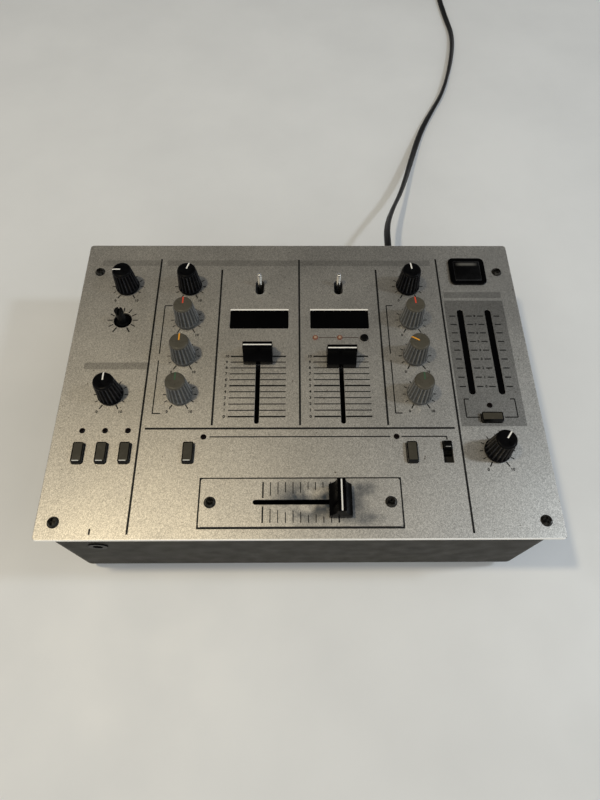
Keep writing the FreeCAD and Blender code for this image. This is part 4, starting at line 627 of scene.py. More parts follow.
def strap(radii, levels, corner):
    """A rounded rectangle in the plane through the coil's axis, as (radius, height) pairs."""
    middle = np.array([sum(radii) / 2, sum(levels) / 2])
    half = np.array([radii[1] - radii[0], levels[1] - levels[0]]) / 2 - corner
    quarter = np.linspace(0, np.pi / 2, TIE_CORNER_STEPS)
    sweep = (np.arange(4)[:, None] * np.pi / 2 + quarter).ravel()
    signs = np.array([(1, 1), (-1, 1), (-1, -1), (1, -1)]).repeat(TIE_CORNER_STEPS, axis=0)
    return middle + signs * half + corner * np.stack([np.cos(sweep), np.sin(sweep)], axis=-1)


def set_down(points, x, y, turn):
    """Turns a shape about Z by turn degrees and moves it to x, y, in metres."""
    sine, cosine = math.sin(math.radians(turn)), math.cos(math.radians(turn))
    turned_x = points[..., 0] * cosine - points[..., 1] * sine
    turned_y = points[..., 0] * sine + points[..., 1] * cosine
    return np.stack([turned_x + x, turned_y + y, points[..., 2]], axis=-1) * MM


tie_outer = strap(TIE_RADII, TIE_LEVELS, TIE_CORNER)
tie_middle = tie_outer.mean(axis=0)
tie_inner = tie_middle + (tie_outer - tie_middle) * (1 - TIE_THICKNESS / np.array(TIE_HALF))
tie_section = [
    (tie_inner, -TIE_HALF_WIDTH),
    (tie_outer, -TIE_HALF_WIDTH),
    (tie_outer, TIE_HALF_WIDTH),
    (tie_inner, TIE_HALF_WIDTH),
]
tie_rows = []
for line, aside in tie_section:
    tie_rows.append(np.stack([line[:, 0], aside + 0 * line[:, 0], line[:, 1]], axis=-1))
tie_grid = set_down(np.stack(tie_rows), *COIL_MIDDLE, TIE_TURN)
tie = fit_grid("coil_tie", tie_grid, lead_black, "housing", looped=True)

# Top panel: a punched steel sheet with fine metallic silver paint, screwed down over the case.
# Darker bands and a darker field behind the meters are printed on the paint.
PANEL_NODE = "top_panel"
PANEL_TOP = 89.0
CHANNEL_BANDS = ((-125.8, 96.0, 44.5, 5.4), (-50.2, 96.0, 98.4, 5.4), (50.2, 96.0, 98.4, 5.4))
CHANNEL_SHADE = 0.76
STRIP_BANDS = ((-126.2, 6.2, 43.2, 5.4), (127.6, 66.2, 42.4, 5.4))
STRIP_SHADE = 0.66
METER_FIELD = (127.4, 10.7, 43.2, 101.0)
FIELD_SHADE = 0.56
FLAKES = ((0.4, 0.27), (0.9, 0.04))
FLAKE_SPREAD = (0.2, 0.8)
SPECK_SIZE = 2.0
SPECK_RARE = 0.775
SPECK_EDGE = 0.02
SPECK_DETAIL = 1.0
SPECK_TONE = (0.16, 0.14, 0.12)
FRONT_EDGE_HIGHLIGHT = (1.0, 0.98, 0.94)
FRONT_HIGHLIGHT_WIDTH = 0.5
PANEL_ROUNDING = 0.3
PANEL_EDGES = {"steps": 2, "crease": 2.0}
WELD = 0.001
FLAT_ANGLE = 0.5
SHARP_ANGLE = 30.0

panel_paint = finish(
    "silver_paint", (0.58, 0.565, 0.54), (0.54, 0.525, 0.5), (0.44, 0.5), 0.4, 0.012, 0.97, 70.0
)


def extent(node):
    """A CAD node's lowest and highest corners at rest, in millimetres."""
    return [np.array(corner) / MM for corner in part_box(node)]


def calculate(tree, operation, *values):
    """The result of an operation on sockets or numbers."""
    return add_node(tree, "ShaderNodeMath", dict(enumerate(values)), operation=operation).outputs[0]


def axes(tree):
    """A material's place on the object, in metres, as one socket and as its three numbers."""
    coordinates = tree.nodes.new("ShaderNodeTexCoord").outputs["Object"]
    return coordinates, add_node(tree, "ShaderNodeSeparateXYZ", {0: coordinates}).outputs


def tint(material, mask, colour, blend="MIX"):
    """Lays a colour, or the colour of a socket, over a material's base colour where the mask is 1."""
    tree = material.node_tree
    shader = tree.nodes["Principled BSDF"]
    below = shader.inputs["Base Color"].links[0].from_socket
    over = (*colour, 1) if isinstance(colour, tuple) else colour
    feed(tree, shader, {"Base Color": laid_over(tree, below, over, mask, blend)})


def add_flakes(material, size, depth):
    """Metal flakes in a paint: cells of a size in millimetres, each lighter or darker by up to depth."""
    tree = material.node_tree
    coordinates, _ = axes(tree)
    cells = add_node(tree, "ShaderNodeTexVoronoi", {"Vector": coordinates, "Scale": 1 / (size * MM)})
    lightness = between(tree, cells.outputs["Color"], *FLAKE_SPREAD, 1 - depth, 1 + depth)
    tint(material, 1.0, lightness, "MULTIPLY")


def add_specks(material, size, rare, colour):
    """Small worn specks: lumps of a noise whose value is over rare."""
    tree = material.node_tree
    coordinates, _ = axes(tree)
    lumps = soft_noise(tree, coordinates, size, SPECK_DETAIL)
    tint(material, between(tree, lumps, rare, rare + SPECK_EDGE), colour)


def inside_any(tree, boxes):
    """A mask that is 1 inside any of the rectangles, each given as x, y, width and depth in millimetres."""
    _, place = axes(tree)
    inside = 0.0
    for x, y, width, depth in boxes:
        across_box = calculate(tree, "COMPARE", place["X"], x * MM, width / 2 * MM)
        along_box = calculate(tree, "COMPARE", place["Y"], y * MM, depth / 2 * MM)
        inside = calculate(tree, "MAXIMUM", calculate(tree, "MULTIPLY", across_box, along_box), inside)
    return inside


def add_bands(material, bands, shade):
    """Printed bands: inside each rectangle the paint's colour is multiplied by shade."""
    tint(material, inside_any(material.node_tree, bands), (shade, shade, shade), "MULTIPLY")


for size, depth in FLAKES:
    add_flakes(panel_paint, size, depth)
add_specks(panel_paint, SPECK_SIZE, SPECK_RARE, SPECK_TONE)
add_bands(panel_paint, CHANNEL_BANDS, CHANNEL_SHADE)
add_bands(panel_paint, STRIP_BANDS, STRIP_SHADE)
add_bands(panel_paint, [METER_FIELD], FIELD_SHADE)
panel_tree = panel_paint.node_tree
_, panel_place = axes(panel_tree)
panel_low, panel_high = extent(PANEL_NODE)
# Painted highlight: the paint along the panel's front edge is laid near white, for light caught on the edge.
in_front_highlight = calculate(panel_tree, "LESS_THAN", panel_place["Y"], (panel_low[1] + FRONT_HIGHLIGHT_WIDTH) * MM)
tint(panel_paint, in_front_highlight, FRONT_EDGE_HIGHLIGHT)


def softened(node, edge, steps=3, crease=32.0):
    """A copy of a CAD node's mesh with its flat faces joined and its sharp edges rounded.

    The rounding is edge millimetres wide. An edge is sharp where its faces meet at more than SHARP_ANGLE.
    """
    work = bmesh.new()
    work.from_mesh(nodes[node].data)
    bmesh.ops.remove_doubles(work, verts=work.verts, dist=WELD * MM)
    flat = math.radians(FLAT_ANGLE)
    bmesh.ops.dissolve_limit(work, angle_limit=flat, verts=work.verts, edges=work.edges)
    limit = math.radians(SHARP_ANGLE)
    edges = [side for side in work.edges if len(side.link_faces) == 2 and side.calc_face_angle(0) > limit]
    bmesh.ops.bevel(
        work,
        geom=edges,
        offset=edge * MM,
        offset_type="OFFSET",
        segments=steps,
        profile=0.5,
        affect="EDGES",
        clamp_overlap=True,
    )
    mesh = bpy.data.meshes.new(node)
    work.to_mesh(mesh)
    work.free()
    return closed(mesh, crease)


def fit_softened(piece, node, edge, material, body, slot, **rounding):
    """Fits a softened copy of a CAD node in the node's place."""
    fit(piece, softened(node, edge, **rounding), [material], body, (node,))


panel_parts = ("silver_panel", PANEL_NODE, PANEL_ROUNDING, panel_paint)
fit_softened(*panel_parts, "housing", "panel_silver", **PANEL_EDGES)

# Printed lines and scales: thin black ink, screen printed on the paint.
# They divide the strips, bracket the tone knobs, and give ticks at the faders, meters and knobs.
INK_SUNK = 0.02
INK_PROUD = 0.05
INK_LOW = PANEL_TOP - INK_SUNK
INK_HIGH = PANEL_TOP + INK_PROUD
BOLD = 1.35
FINE = 0.8
STRIP_COLUMN = 126.5
CHANNEL_COLUMN = 80.4
FADER_COLUMN = 28.6
STRIP_DIVIDER = (104.0, -5.0, 210.0)
CHANNEL_DIVIDER = (57.7, 25.5, 128.6)
MIDDLE_DIVIDER = (0, 30.2, BOLD, 138.0, 0)
FRONT_DIVIDER = (0, -41.0, 202.0, BOLD, 0)
SOCKET_MARK = (-126.4, -108.2, 1.1, 3.6, 0)
TONE_BRACKETS = ((-97.4, 5.4), (63.3, 4.6))
BRACKET_SIDES = ((36.2, 41.0), (-9.8, 40.6))
BRACKET_ENDS = (56.7, -30.1)
START_ROW = -46.9
START_LINES = ((0, 117.0), (CHANNEL_COLUMN, 29.4))
SELECTOR_DROP = (95.0, -48.0, FINE, 2.4, 0)
METER_MIDDLE = 127.0
METER_SIDE = (17.0, -26.5, 13.6)
METER_HOOKS = ((15.4, -19.8, 3.2), (12.7, -33.3, 8.8))
FADER_TICKS = (13.66, -32.5, 11)
FADER_TICK = (10.4, 17.4)
FADER_WEIGHTS = (1.15, 0.75)
WEIGHTY_EACH = 5
METER_COLUMNS = (116.45, 136.55)
METER_TICKS = (47.4, -10.3, 9)
METER_TICK = (5.9, 4.4, 0.9)
KNOB_ROWS = (74.0, 44.0, 14.0, -16.0)
TRIM_ROW, HIGH_ROW, MID_ROW, LOW_ROW = KNOB_ROWS
MASTER_ROW = -57.0
RING_KNOBS = [(side * CHANNEL_COLUMN, row) for side in (-1, 1) for row in KNOB_ROWS]
RING_KNOBS += [(-STRIP_COLUMN, TRIM_ROW), (-STRIP_COLUMN, LOW_ROW), (STRIP_COLUMN, MASTER_ROW)]
RING_TURN = 150.0
RING_TICKS = 11
RING_TICK = (9.2, 11.4, 0.65)
RING_END = (8.9, 12.4, 0.8)
SHAFT_TICK = (7.2, 10.8, 0.75)
SHAFT_END = (7.2, 11.8, 0.9)

ink = finish(
    "black_ink", (0.006, 0.006, 0.007), (0.012, 0.012, 0.012), (0.5, 0.62), 0.3, 0.004, blotch=5.0, gloss=0.2
)
lines = []
for x, y, length in (STRIP_DIVIDER, CHANNEL_DIVIDER):
    lines += [(side * x, y, BOLD, length, 0) for side in (-1, 1)]
lines += [MIDDLE_DIVIDER, FRONT_DIVIDER, SOCKET_MARK]
for column, run in TONE_BRACKETS:
    lines += [(column, y, FINE, length, 0) for y, length in BRACKET_SIDES]
    lines += [(column + run / 2, y, run, FINE, 0) for y in BRACKET_ENDS]
lines += [(x, START_ROW, length, FINE, 0) for x, length in START_LINES]
lines.append(SELECTOR_DROP)
for side in (-1, 1):
    lines.append((METER_MIDDLE + side * METER_SIDE[0], METER_SIDE[1], FINE, METER_SIDE[2], 0))
    lines += [(METER_MIDDLE + side * x, y, length, FINE, 0) for x, y, length in METER_HOOKS]
for number, y in enumerate(np.linspace(*FADER_TICKS)):
    weight = FADER_WEIGHTS[min(number % WEIGHTY_EACH, 1)]
    for column in (-FADER_COLUMN, FADER_COLUMN):
        lines += [(column + side * FADER_TICK[0], y, FADER_TICK[1], weight, 0) for side in (-1, 1)]
for y in np.linspace(*METER_TICKS):
    for column in METER_COLUMNS:
        lines += [(column + side * METER_TICK[0], y, *METER_TICK[1:], 0) for side in (-1, 1)]


def tick_ring(x, y, near, far, weight, ticks):
    """Ticks between two radii round a knob, evenly over RING_TURN degrees to each side of the rear."""
    turn = np.linspace(-RING_TURN, RING_TURN, ticks)
    middle = (near + far) / 2
    sine, cosine = np.sin(np.radians(turn)), np.cos(np.radians(turn))
    same = np.ones_like(turn)
    places = [x - middle * sine, y + middle * cosine]
    return np.stack([*places, weight * same, (far - near) * same, turn], axis=-1)


rings = [tick_ring(x, y, *RING_TICK, RING_TICKS) for x, y in RING_KNOBS]
rings += [tick_ring(x, y, *RING_END, 2) for x, y in RING_KNOBS]
rings += [tick_ring(-STRIP_COLUMN, HIGH_ROW, *SHAFT_TICK, RING_TICKS)]
rings += [tick_ring(-STRIP_COLUMN, HIGH_ROW, *SHAFT_END, 2)]
print_grid = slabs(np.vstack([np.array(lines)] + rings), INK_LOW, INK_HIGH)
fit_grid("panel_print", print_grid, ink, "housing")

# Numbers: plain figures in the same black ink, from 0 to 10 at the faders and knobs and 0 to 8 at the meters.
# They are printed with the lines.
STROKE = 0.11
FIGURE_CURVE = 3
FIGURE_CREASE = 30.0
FADER_NUMBER = (-21.6, 2.9)
METER_NUMBER_HEIGHT = 2.6
RING_NUMBERS = (("0", -7.6, -12.8), ("10", 7.8, -12.8))
RING_NUMBER_HEIGHT = 2.7


def figures(name, labels):
    """Plain numbers as one mesh of raised ink: each label is its text, x, y and height in millimetres."""
    work = bmesh.new()
    for text, x, y, height in labels:
        letters = bpy.data.curves.new(name, "FONT")
        letters.body = text
        letters.size = height * MM
        letters.extrude = (INK_HIGH - INK_LOW) / 2 * MM
        letters.offset = STROKE * MM
        letters.resolution_u = FIGURE_CURVE
        letters.align_x = "CENTER"
        letters.align_y = "CENTER"
        figure_mesh = drawn(letters)
        figure_mesh.transform(Matrix.Translation(Vector((x, y, (INK_LOW + INK_HIGH) / 2)) * MM))
        work.from_mesh(figure_mesh)
        bpy.data.meshes.remove(figure_mesh)
    mesh = bpy.data.meshes.new(name)
    work.to_mesh(mesh)
    work.free()
    return closed(mesh, FIGURE_CREASE)


labels = []
for number, y in enumerate(np.linspace(*FADER_TICKS)):
    figure = str(FADER_TICKS[2] - 1 - number)
    for column in (-FADER_COLUMN, FADER_COLUMN):
        labels.append((figure, column + FADER_NUMBER[0], y, FADER_NUMBER[1]))
for number, y in enumerate(np.linspace(*METER_TICKS)):
    labels.append((str(METER_TICKS[2] - 1 - number), STRIP_COLUMN, y, METER_NUMBER_HEIGHT))
for x, y in RING_KNOBS:
    for figure, aside, ahead_by in RING_NUMBERS:
        labels.append((figure, x + aside, y + ahead_by, RING_NUMBER_HEIGHT))
fit("panel_numbers", figures("panel_numbers", labels), [ink], "housing")

# Display edges: the punched sheet's cut edge at the rear of each display.
# It is a pale strip on the paint, whose brightness is a painted highlight of the lit edge.
DISPLAY = (28.8, 44.6, 42.0, 15.7)
DISPLAY_HIGHLIGHT_WIDTH = 1.2

painted_edge_highlight = finish("painted_edge_highlight", (0.85, 0.83, 0.8), (0.78, 0.76, 0.73), (0.4, 0.5), 0.4, 0.004, blotch=6.0)
edge_row = DISPLAY[1] + DISPLAY[3] / 2 + DISPLAY_HIGHLIGHT_WIDTH / 2
edge_lines = [(side * DISPLAY[0], edge_row, DISPLAY[2], DISPLAY_HIGHLIGHT_WIDTH, 0) for side in (-1, 1)]
edge_grid = slabs(edge_lines, INK_LOW, INK_HIGH)
fit_grid("display_edge_highlights", edge_grid, painted_edge_highlight, "housing")

# Lamp line: a thin line of brown ink, printed on the paint.
# It joins the two small amber lamps and the round button.
LAMP_LINES = ((19.85, 29.1, 12.4, 0.5, 0), (36.0, 29.1, 11.2, 0.5, 0))

lamp_line_ink = finish(
    "brown_ink", (0.035, 0.02, 0.014), (0.05, 0.028, 0.02), (0.5, 0.6), 0.3, 0.004, blotch=5.0
)
lamp_grid = slabs(LAMP_LINES, INK_LOW, INK_HIGH)
fit_grid("lamp_line", lamp_grid, lamp_line_ink, "housing")

# Screw rims: thin dark rings round the heads of the six blackened screws.
# They are painted shadow where the heads meet the paint.
SCREW_SHADE_RING = ((3.3, 0.0), (3.7, 0.0), (3.7, 0.05), (3.3, 0.05))
SCREW_SIDE = 11.0
SCREW_FRONT = 11.0
SCREW_REAR = 26.0
CROSS_ROW = -90.8
PLATE_TOP = 90.2
PLATE_SCREW = 55.5

screw_columns = (panel_low[0] + SCREW_SIDE, panel_high[0] - SCREW_SIDE)
screw_rows = (panel_low[1] + SCREW_FRONT, panel_high[1] - SCREW_REAR)
screw_places = [(x, y, INK_LOW) for x in screw_columns for y in screw_rows]
screw_places += [(side * PLATE_SCREW, CROSS_ROW, PLATE_TOP - INK_SUNK) for side in (-1, 1)]
screw_shade_rings = turned(SCREW_SHADE_RING, RING_COLUMNS) + np.array(screw_places)[:, None, None]
fit_grid("screw_shade_rings", screw_shade_rings * MM, ink, "housing", looped=True)

# Crossfader plate: a small silver plate on the panel's front, held by two screws, ringed by painted shade.
# Dark smudges by its slot are dirt and painted shade and reflection of the cap; its printed scale is worn.
PLATE_HALF = (61.7, 15.0)
GAP_SHADE_WIDTH = 1.2
DIRT_AND_SHADE_TONE = (0.06, 0.075, 0.1)
DIRT_SHADE_MIDDLE = 12.0
DIRT_SHADE_ASIDE = (3.0, 14.0, 1.0, 0.3)
DIRT_SHADE_ALONG = (15.0, 37.5)
DIRT_SHADE_LUMPS = 13.0
DIRT_SHADE_EDGES = (0.36, 0.56)
DIRT_AND_SHADE_MARKS = ((39.0, -82.5, 9.5, 5.5), (41.0, -101.5, 13.0, 4.5))
MARK_STRENGTH = 0.62
MARK_LUMPS = 7.0
MARK_EDGES = (0.3, 0.6)
DIRT_DETAIL = 6.0
SCALE_REACH = 23.2
SCALE_ENDS = (2.6, 12.8)
SCALE_WORN = (0.0, 1.6, 2.4, 3.6, 2.6, 3.4, 5.4, 5.0, 6.4, 4.2, 1.0)
SCALE_WEIGHT = 0.55
SCALE_END_WEIGHT = 0.95

plate_paint = finish(
    "plate_paint", (0.58, 0.565, 0.54), (0.54, 0.525, 0.5), (0.44, 0.5), 0.4, 0.012, 0.97, 40.0
)


def away_from(tree, value, middle):
    """How far a value in metres is from a middle in millimetres, to either side."""
    return calculate(tree, "ABSOLUTE", calculate(tree, "SUBTRACT", value, middle * MM))


def fading(tree, length, near, far, start=1.0, end=0.0):
    """A strength that goes from start to end as a length in metres goes from near to far millimetres."""
    return between(tree, length, near * MM, far * MM, start, end)


def add_dirt_and_shade(material, colour):
    """Dirt and painted shade by the slot: a fade to the sides times a fade along it, broken up by noise.

    Their middle is to the right of the slot's.
    """
    tree = material.node_tree
    coordinates, place = axes(tree)
    aside = fading(tree, away_from(tree, place["Y"], CROSS_ROW), *DIRT_SHADE_ASIDE)
    along = fading(tree, away_from(tree, place["X"], DIRT_SHADE_MIDDLE), *DIRT_SHADE_ALONG)
    broken = between(tree, soft_noise(tree, coordinates, DIRT_SHADE_LUMPS, DIRT_DETAIL), *DIRT_SHADE_EDGES)
    tint(material, calculate(tree, "MULTIPLY", calculate(tree, "MULTIPLY", aside, along), broken), colour)


def add_dirt_and_shade_marks(material, marks, colour):
    """Soft oval marks of dirt and painted shade: each is x, y, half width and half depth, broken by noise.

    A mark's strength falls with the sum of the squares of the two distances, as shares of the half sizes.
    """
    tree = material.node_tree
    coordinates, place = axes(tree)
    broken = between(tree, soft_noise(tree, coordinates, MARK_LUMPS, DIRT_DETAIL), *MARK_EDGES)
    for x, y, half_width, half_depth in marks:
        across_mark = calculate(tree, "DIVIDE", away_from(tree, place["X"], x), half_width * MM)
        along_mark = calculate(tree, "DIVIDE", away_from(tree, place["Y"], y), half_depth * MM)
        squares = [calculate(tree, "MULTIPLY", part, part) for part in (across_mark, along_mark)]
        strength = between(tree, calculate(tree, "ADD", *squares), 0.0, 1.0, MARK_STRENGTH, 0.0)
        tint(material, calculate(tree, "MULTIPLY", strength, broken), colour)


for size, depth in FLAKES:
    add_flakes(plate_paint, size, depth)
# Painted shade: the bluish smudges and marks darken the plate partly as dirt, partly as shade and reflection
# of the cap.
add_dirt_and_shade(plate_paint, DIRT_AND_SHADE_TONE)
add_dirt_and_shade_marks(plate_paint, DIRT_AND_SHADE_MARKS, DIRT_AND_SHADE_TONE)
dress(plate_paint, "crossfader_plate")
scale_lines = []
for x, worn in zip(np.linspace(-SCALE_REACH, SCALE_REACH, len(SCALE_WORN)), SCALE_WORN):
    near, far = SCALE_ENDS[0] + worn, SCALE_ENDS[1]
    weight = SCALE_WEIGHT if abs(x) < SCALE_REACH else SCALE_END_WEIGHT
    scale_lines += [(x, CROSS_ROW + side * (near + far) / 2, weight, far - near, 0) for side in (-1, 1)]
scale_grid = slabs(scale_lines, PLATE_TOP - INK_SUNK, PLATE_TOP + INK_PROUD)
# The dark band round the plate's edge, in the ink, is painted shade of the gap where the raised plate meets
# the panel.
outline = []
for side in (-1, 1):
    middle = [side * (half + GAP_SHADE_WIDTH / 2) for half in PLATE_HALF]
    outline.append((0, CROSS_ROW + middle[1], 2 * PLATE_HALF[0] + 2 * GAP_SHADE_WIDTH, GAP_SHADE_WIDTH, 0))
    outline.append((middle[0], CROSS_ROW, GAP_SHADE_WIDTH, 2 * PLATE_HALF[1], 0))
gap_shade_grid = slabs(outline, INK_LOW, INK_HIGH)
plate_mesh = shell("plate_print_and_shade", [(scale_grid, 0), (gap_shade_grid, 0)])
fit("plate_print_and_shade", plate_mesh, [ink], "housing")

# Knobs: moulded caps, smooth above and fluted below, pushed onto the controls' spindles.
# Black ones have a white pointer, the grey tone controls a red, orange or green one.
KNOB_PROFILE = (
    (3.0, 75.3, 0),
    (3.0, 90.8, 0),
    (6.9, 90.8, 0),
    (7.1, 89.5, 0),
    (8.35, 89.5, 0),
    (8.65, 89.75, 0),
    (8.7, 90.4, 0),
    (8.64, 91.2, 0),
    (8.54, 91.5, 0.4),
    (8.42, 91.9, 0.85),
    (8.32, 92.4, 1),
    (8.1, 94.6, 1),
    (7.88, 96.8, 1),
    (7.66, 99.0, 1),
    (7.44, 101.2, 1),
    (7.24, 103.2, 1),
    (7.06, 105.0, 1),
    (6.94, 106.0, 0.95),
    (6.84, 106.6, 0.7),
    (6.74, 107.0, 0.3),
    (6.64, 107.4, 0),
    (6.42, 107.95, 0),
    (6.12, 108.3, 0),
    (5.7, 108.5, 0),
    (5.2, 108.59, 0),
    (4.4, 108.61, 0),
    (2.4, 108.61, 0),
)
SKIRT_ROWS = (8, 20)
KNOB_PARTS = ("flute", "ridge", "top")
POINTER_PATH = (
    (0.6, 108.61),
    (3.0, 108.61),
    (4.8, 108.61),
    (5.6, 108.52),
    (6.1, 108.31),
    (6.42, 107.95),
    (6.66, 107.3),
)
POINTER_HALF = 0.46
POINTER_PROUD = 0.08
POINTER_SUNK = 0.3
POINTER_SHADE = 0.88
FLUTES = 18
FLUTE_COLUMNS = 12
HIGHLIT_RIDGE_COLUMNS = (4, 5, 6, 7)
FLUTE_DEPTH = 0.95
FLUTE_POWER = 0.6
KNOBS = (
    ("mic_level_knob", -STRIP_COLUMN, TRIM_ROW, 90.0, "black", "white"),
    ("monitor_level_knob", -STRIP_COLUMN, LOW_ROW, 0.0, "black", "white"),
    ("ch1_trim_knob", -CHANNEL_COLUMN, TRIM_ROW, -16.0, "black", "white"),
    ("ch1_high_knob", -CHANNEL_COLUMN, HIGH_ROW, 0.0, "grey", "red"),
    ("ch1_mid_knob", -CHANNEL_COLUMN, MID_ROW, 0.0, "grey", "orange"),
    ("ch1_low_knob", -CHANNEL_COLUMN, LOW_ROW, 0.0, "grey", "green"),
    ("ch2_trim_knob", CHANNEL_COLUMN, TRIM_ROW, 7.0, "black", "white"),
    ("ch2_high_knob", CHANNEL_COLUMN, HIGH_ROW, 4.0, "grey", "red"),
    ("ch2_mid_knob", CHANNEL_COLUMN, MID_ROW, 59.0, "grey", "orange"),
    ("ch2_low_knob", CHANNEL_COLUMN, LOW_ROW, 0.0, "grey", "green"),
    ("master_level_knob", STRIP_COLUMN, MASTER_ROW, -36.0, "black", "white"),
)
POINTER_COLOURS = {
    "white": (0.8, 0.79, 0.76),
    "red": (0.62, 0.06, 0.03),
    "orange": (0.75, 0.33, 0.03),
    "green": (0.035, 0.1, 0.05),
}
# The ridge tones are lighter than the flute tones, which are the knobs' body colours: a painted highlight on
# the crests.
KNOB_TONES = {
    "black_flute": ((0.001, 0.001, 0.0015), (0.002, 0.002, 0.0025), 0.03),
    "black_ridge": ((0.009, 0.009, 0.012), (0.014, 0.014, 0.018), 0.12),
    "black_top": ((0.002, 0.002, 0.0025), (0.004, 0.004, 0.0045), 0.05),
    "grey_flute": ((0.057, 0.059, 0.059), (0.067, 0.069, 0.069), 0.12),
    "grey_ridge": ((0.14, 0.143, 0.145), (0.16, 0.163, 0.165), 0.2),
    "grey_top": ((0.064, 0.059, 0.047), (0.075, 0.069, 0.055), 0.17),
}

knob_finishes = {
    name: finish(f"knob_{name}", colour, shade, (0.24, 0.34), 0.35, 0.012, blotch=6.0, gloss=gloss)
    for name, (colour, shade, gloss) in KNOB_TONES.items()
}
pointer_paints = {}
for name, tone in POINTER_COLOURS.items():
    shade = tuple(POINTER_SHADE * part for part in tone)
    pointer_paints[name] = finish(f"pointer_{name}", tone, shade, (0.4, 0.5), 0.3, 0.005, blotch=3.0)


def fluted(profile, flutes, columns_each, depth):
    """A profile turned about Z with flutes, in which a row's radius dips by depth times the row's weight.

    A dip is a power of a raised cosine of the angle, so that ridges and flutes run into each other.
    """
    rows = np.array(profile)
    angle = np.linspace(0, 2 * np.pi, flutes * columns_each, endpoint=False)
    dip = (0.5 + 0.5 * np.cos(flutes * angle)) ** FLUTE_POWER
    radius = rows[:, :1] - depth * rows[:, 2:3] * dip
    return np.stack([radius * np.cos(angle), radius * np.sin(angle), rows[:, 1:2] + 0 * angle], axis=-1)


def ribbon(path, half_width, proud, sunk):
    """A strip along a path of (distance to the rear, height) pairs, from sunk below it to proud of it."""
    line = np.array(path)
    forward = np.gradient(line, axis=0)
    forward /= np.linalg.norm(forward, axis=1, keepdims=True)
    outward = np.stack([-forward[:, 1], forward[:, 0]], axis=-1)
    offsets = np.array([(-half_width, -sunk), (half_width, -sunk), (half_width, proud), (-half_width, proud)])
    points = line[:, None] + outward[:, None] * offsets[:, 1:]
    return np.stack([offsets[:, 0] + 0 * points[..., 0], points[..., 0], points[..., 1]], axis=-1)


knob_shape = fluted(KNOB_PROFILE, FLUTES, FLUTE_COLUMNS, FLUTE_DEPTH)
pointer_shape = ribbon(POINTER_PATH, POINTER_HALF, POINTER_PROUD, POINTER_SUNK)
# Painted highlight: the crest columns of each ridge, above the plain base rows, take the lighter ridge tone.
in_highlit_ridge = np.isin(np.arange(FLUTES * FLUTE_COLUMNS) % FLUTE_COLUMNS, HIGHLIT_RIDGE_COLUMNS)
knob_row = np.arange(len(KNOB_PROFILE) + 1)[:, None]
knob_parts = np.where(knob_row > SKIRT_ROWS[1], 2, in_highlit_ridge & (knob_row > SKIRT_ROWS[0]))
for name, x, y, turn, body_tone, pointer_tone in KNOBS:
    grids = [(set_down(knob_shape, x, y, turn), knob_parts), (set_down(pointer_shape, x, y, turn), 3)]
    finishes = [knob_finishes[f"{body_tone}_{part}"] for part in KNOB_PARTS]
    finishes.append(pointer_paints[pointer_tone])
    fit(f"{name}_cap", shell(name, grids), finishes, name, (name,))

# Bare shaft: the microphone tone control has lost its knob.
# Its split plastic shaft stands in an open hole of the panel.
SHAFT_ROUNDING = 0.35

shaft_plastic = finish(
    "shaft_plastic", (0.003, 0.003, 0.003), (0.006, 0.006, 0.006), (0.3, 0.45), 0.4, 0.03, 0.0, 4.0, 0.07
)
fit_softened("mic_eq_bare_shaft", "mic_eq_shaft", SHAFT_ROUNDING, shaft_plastic, "mic_eq_shaft", "shaft_grey")

# Fader caps: moulded black plastic with a finger hollow each side of a ridge, and a white line on the ridge.
# Each is pushed onto the lever of its fader.
FADERS = (("ch1_fader", (1, 0)), ("ch2_fader", (1, 0)), ("crossfader", (0, 1)))
CAP_ROUNDING = 0.45
CAP_LINE = (0.85, 19.2)
CAP_LINE_LEVELS = (-0.6, -0.02)

cap_black = finish(
    "cap_black", (0.001, 0.001, 0.0012), (0.0018, 0.0018, 0.002), (0.2, 0.3), 0.35, 0.01, 0.0, 7.0, 0.025
)
for name, along in FADERS:
    node = f"{name}_knob"
    low, high = extent(node)
    x, y, _ = (low + high) / 2
    size = [CAP_LINE[part] for part in along]
    line = slabs([(x, y, *size, 0)], *(high[2] + np.array(CAP_LINE_LEVELS)))
    fit_softened(f"{name}_cap", node, CAP_ROUNDING, cap_black, name, "cap_black")
    fit_grid(f"{name}_line", line, pointer_paints["white"], name)

# Toggles: turned and chromed bat levers that lean in their dark slots.
# Each swings on a steel pin in its switch's body.
TOGGLES = (("ch1_toggle_lever", -29.0), ("ch2_toggle_lever", 29.0))
TOGGLE_PIVOT = (73.2, 83.0)
TOGGLE_LEAN = math.radians(12.5)
TOGGLE_PROFILE = (
    (1.0, -1.9),
    (1.2, -1.5),
    (1.2, 3.0),
    (1.28, 7.0),
    (1.45, 11.0),
    (1.62, 14.4),
    (1.69, 15.8),
    (1.62, 16.6),
    (1.35, 17.15),
    (0.8, 17.44),
)
TOGGLE_PIN = ((0.95, -6.0), (1.0, -5.9), (1.0, 5.9), (0.95, 6.0))

chrome = finish("worn_chrome", (0.66, 0.655, 0.64), (0.58, 0.575, 0.56), (0.12, 0.2), 0.6, 0.006, 1.0, 3.0)
bat = turned(TOGGLE_PROFILE, RING_COLUMNS)
bat_back = bat[..., 1] * math.cos(TOGGLE_LEAN) + bat[..., 2] * math.sin(TOGGLE_LEAN)
bat_up = bat[..., 2] * math.cos(TOGGLE_LEAN) - bat[..., 1] * math.sin(TOGGLE_LEAN)
pin = turned(TOGGLE_PIN, RING_COLUMNS)
for name, x in TOGGLES:
    lever = np.stack([bat[..., 0] + x, bat_back + TOGGLE_PIVOT[0], bat_up + TOGGLE_PIVOT[1]], axis=-1)
    axle = np.stack([pin[..., 2] + x, pin[..., 0] + TOGGLE_PIVOT[0], pin[..., 1] + TOGGLE_PIVOT[1]], axis=-1)
    grids = [(lever * MM, 0), (axle * MM, 1)]
    fit(f"{name}_bat", shell(name, grids), [chrome, black_steel_and_shade], name, (name,))

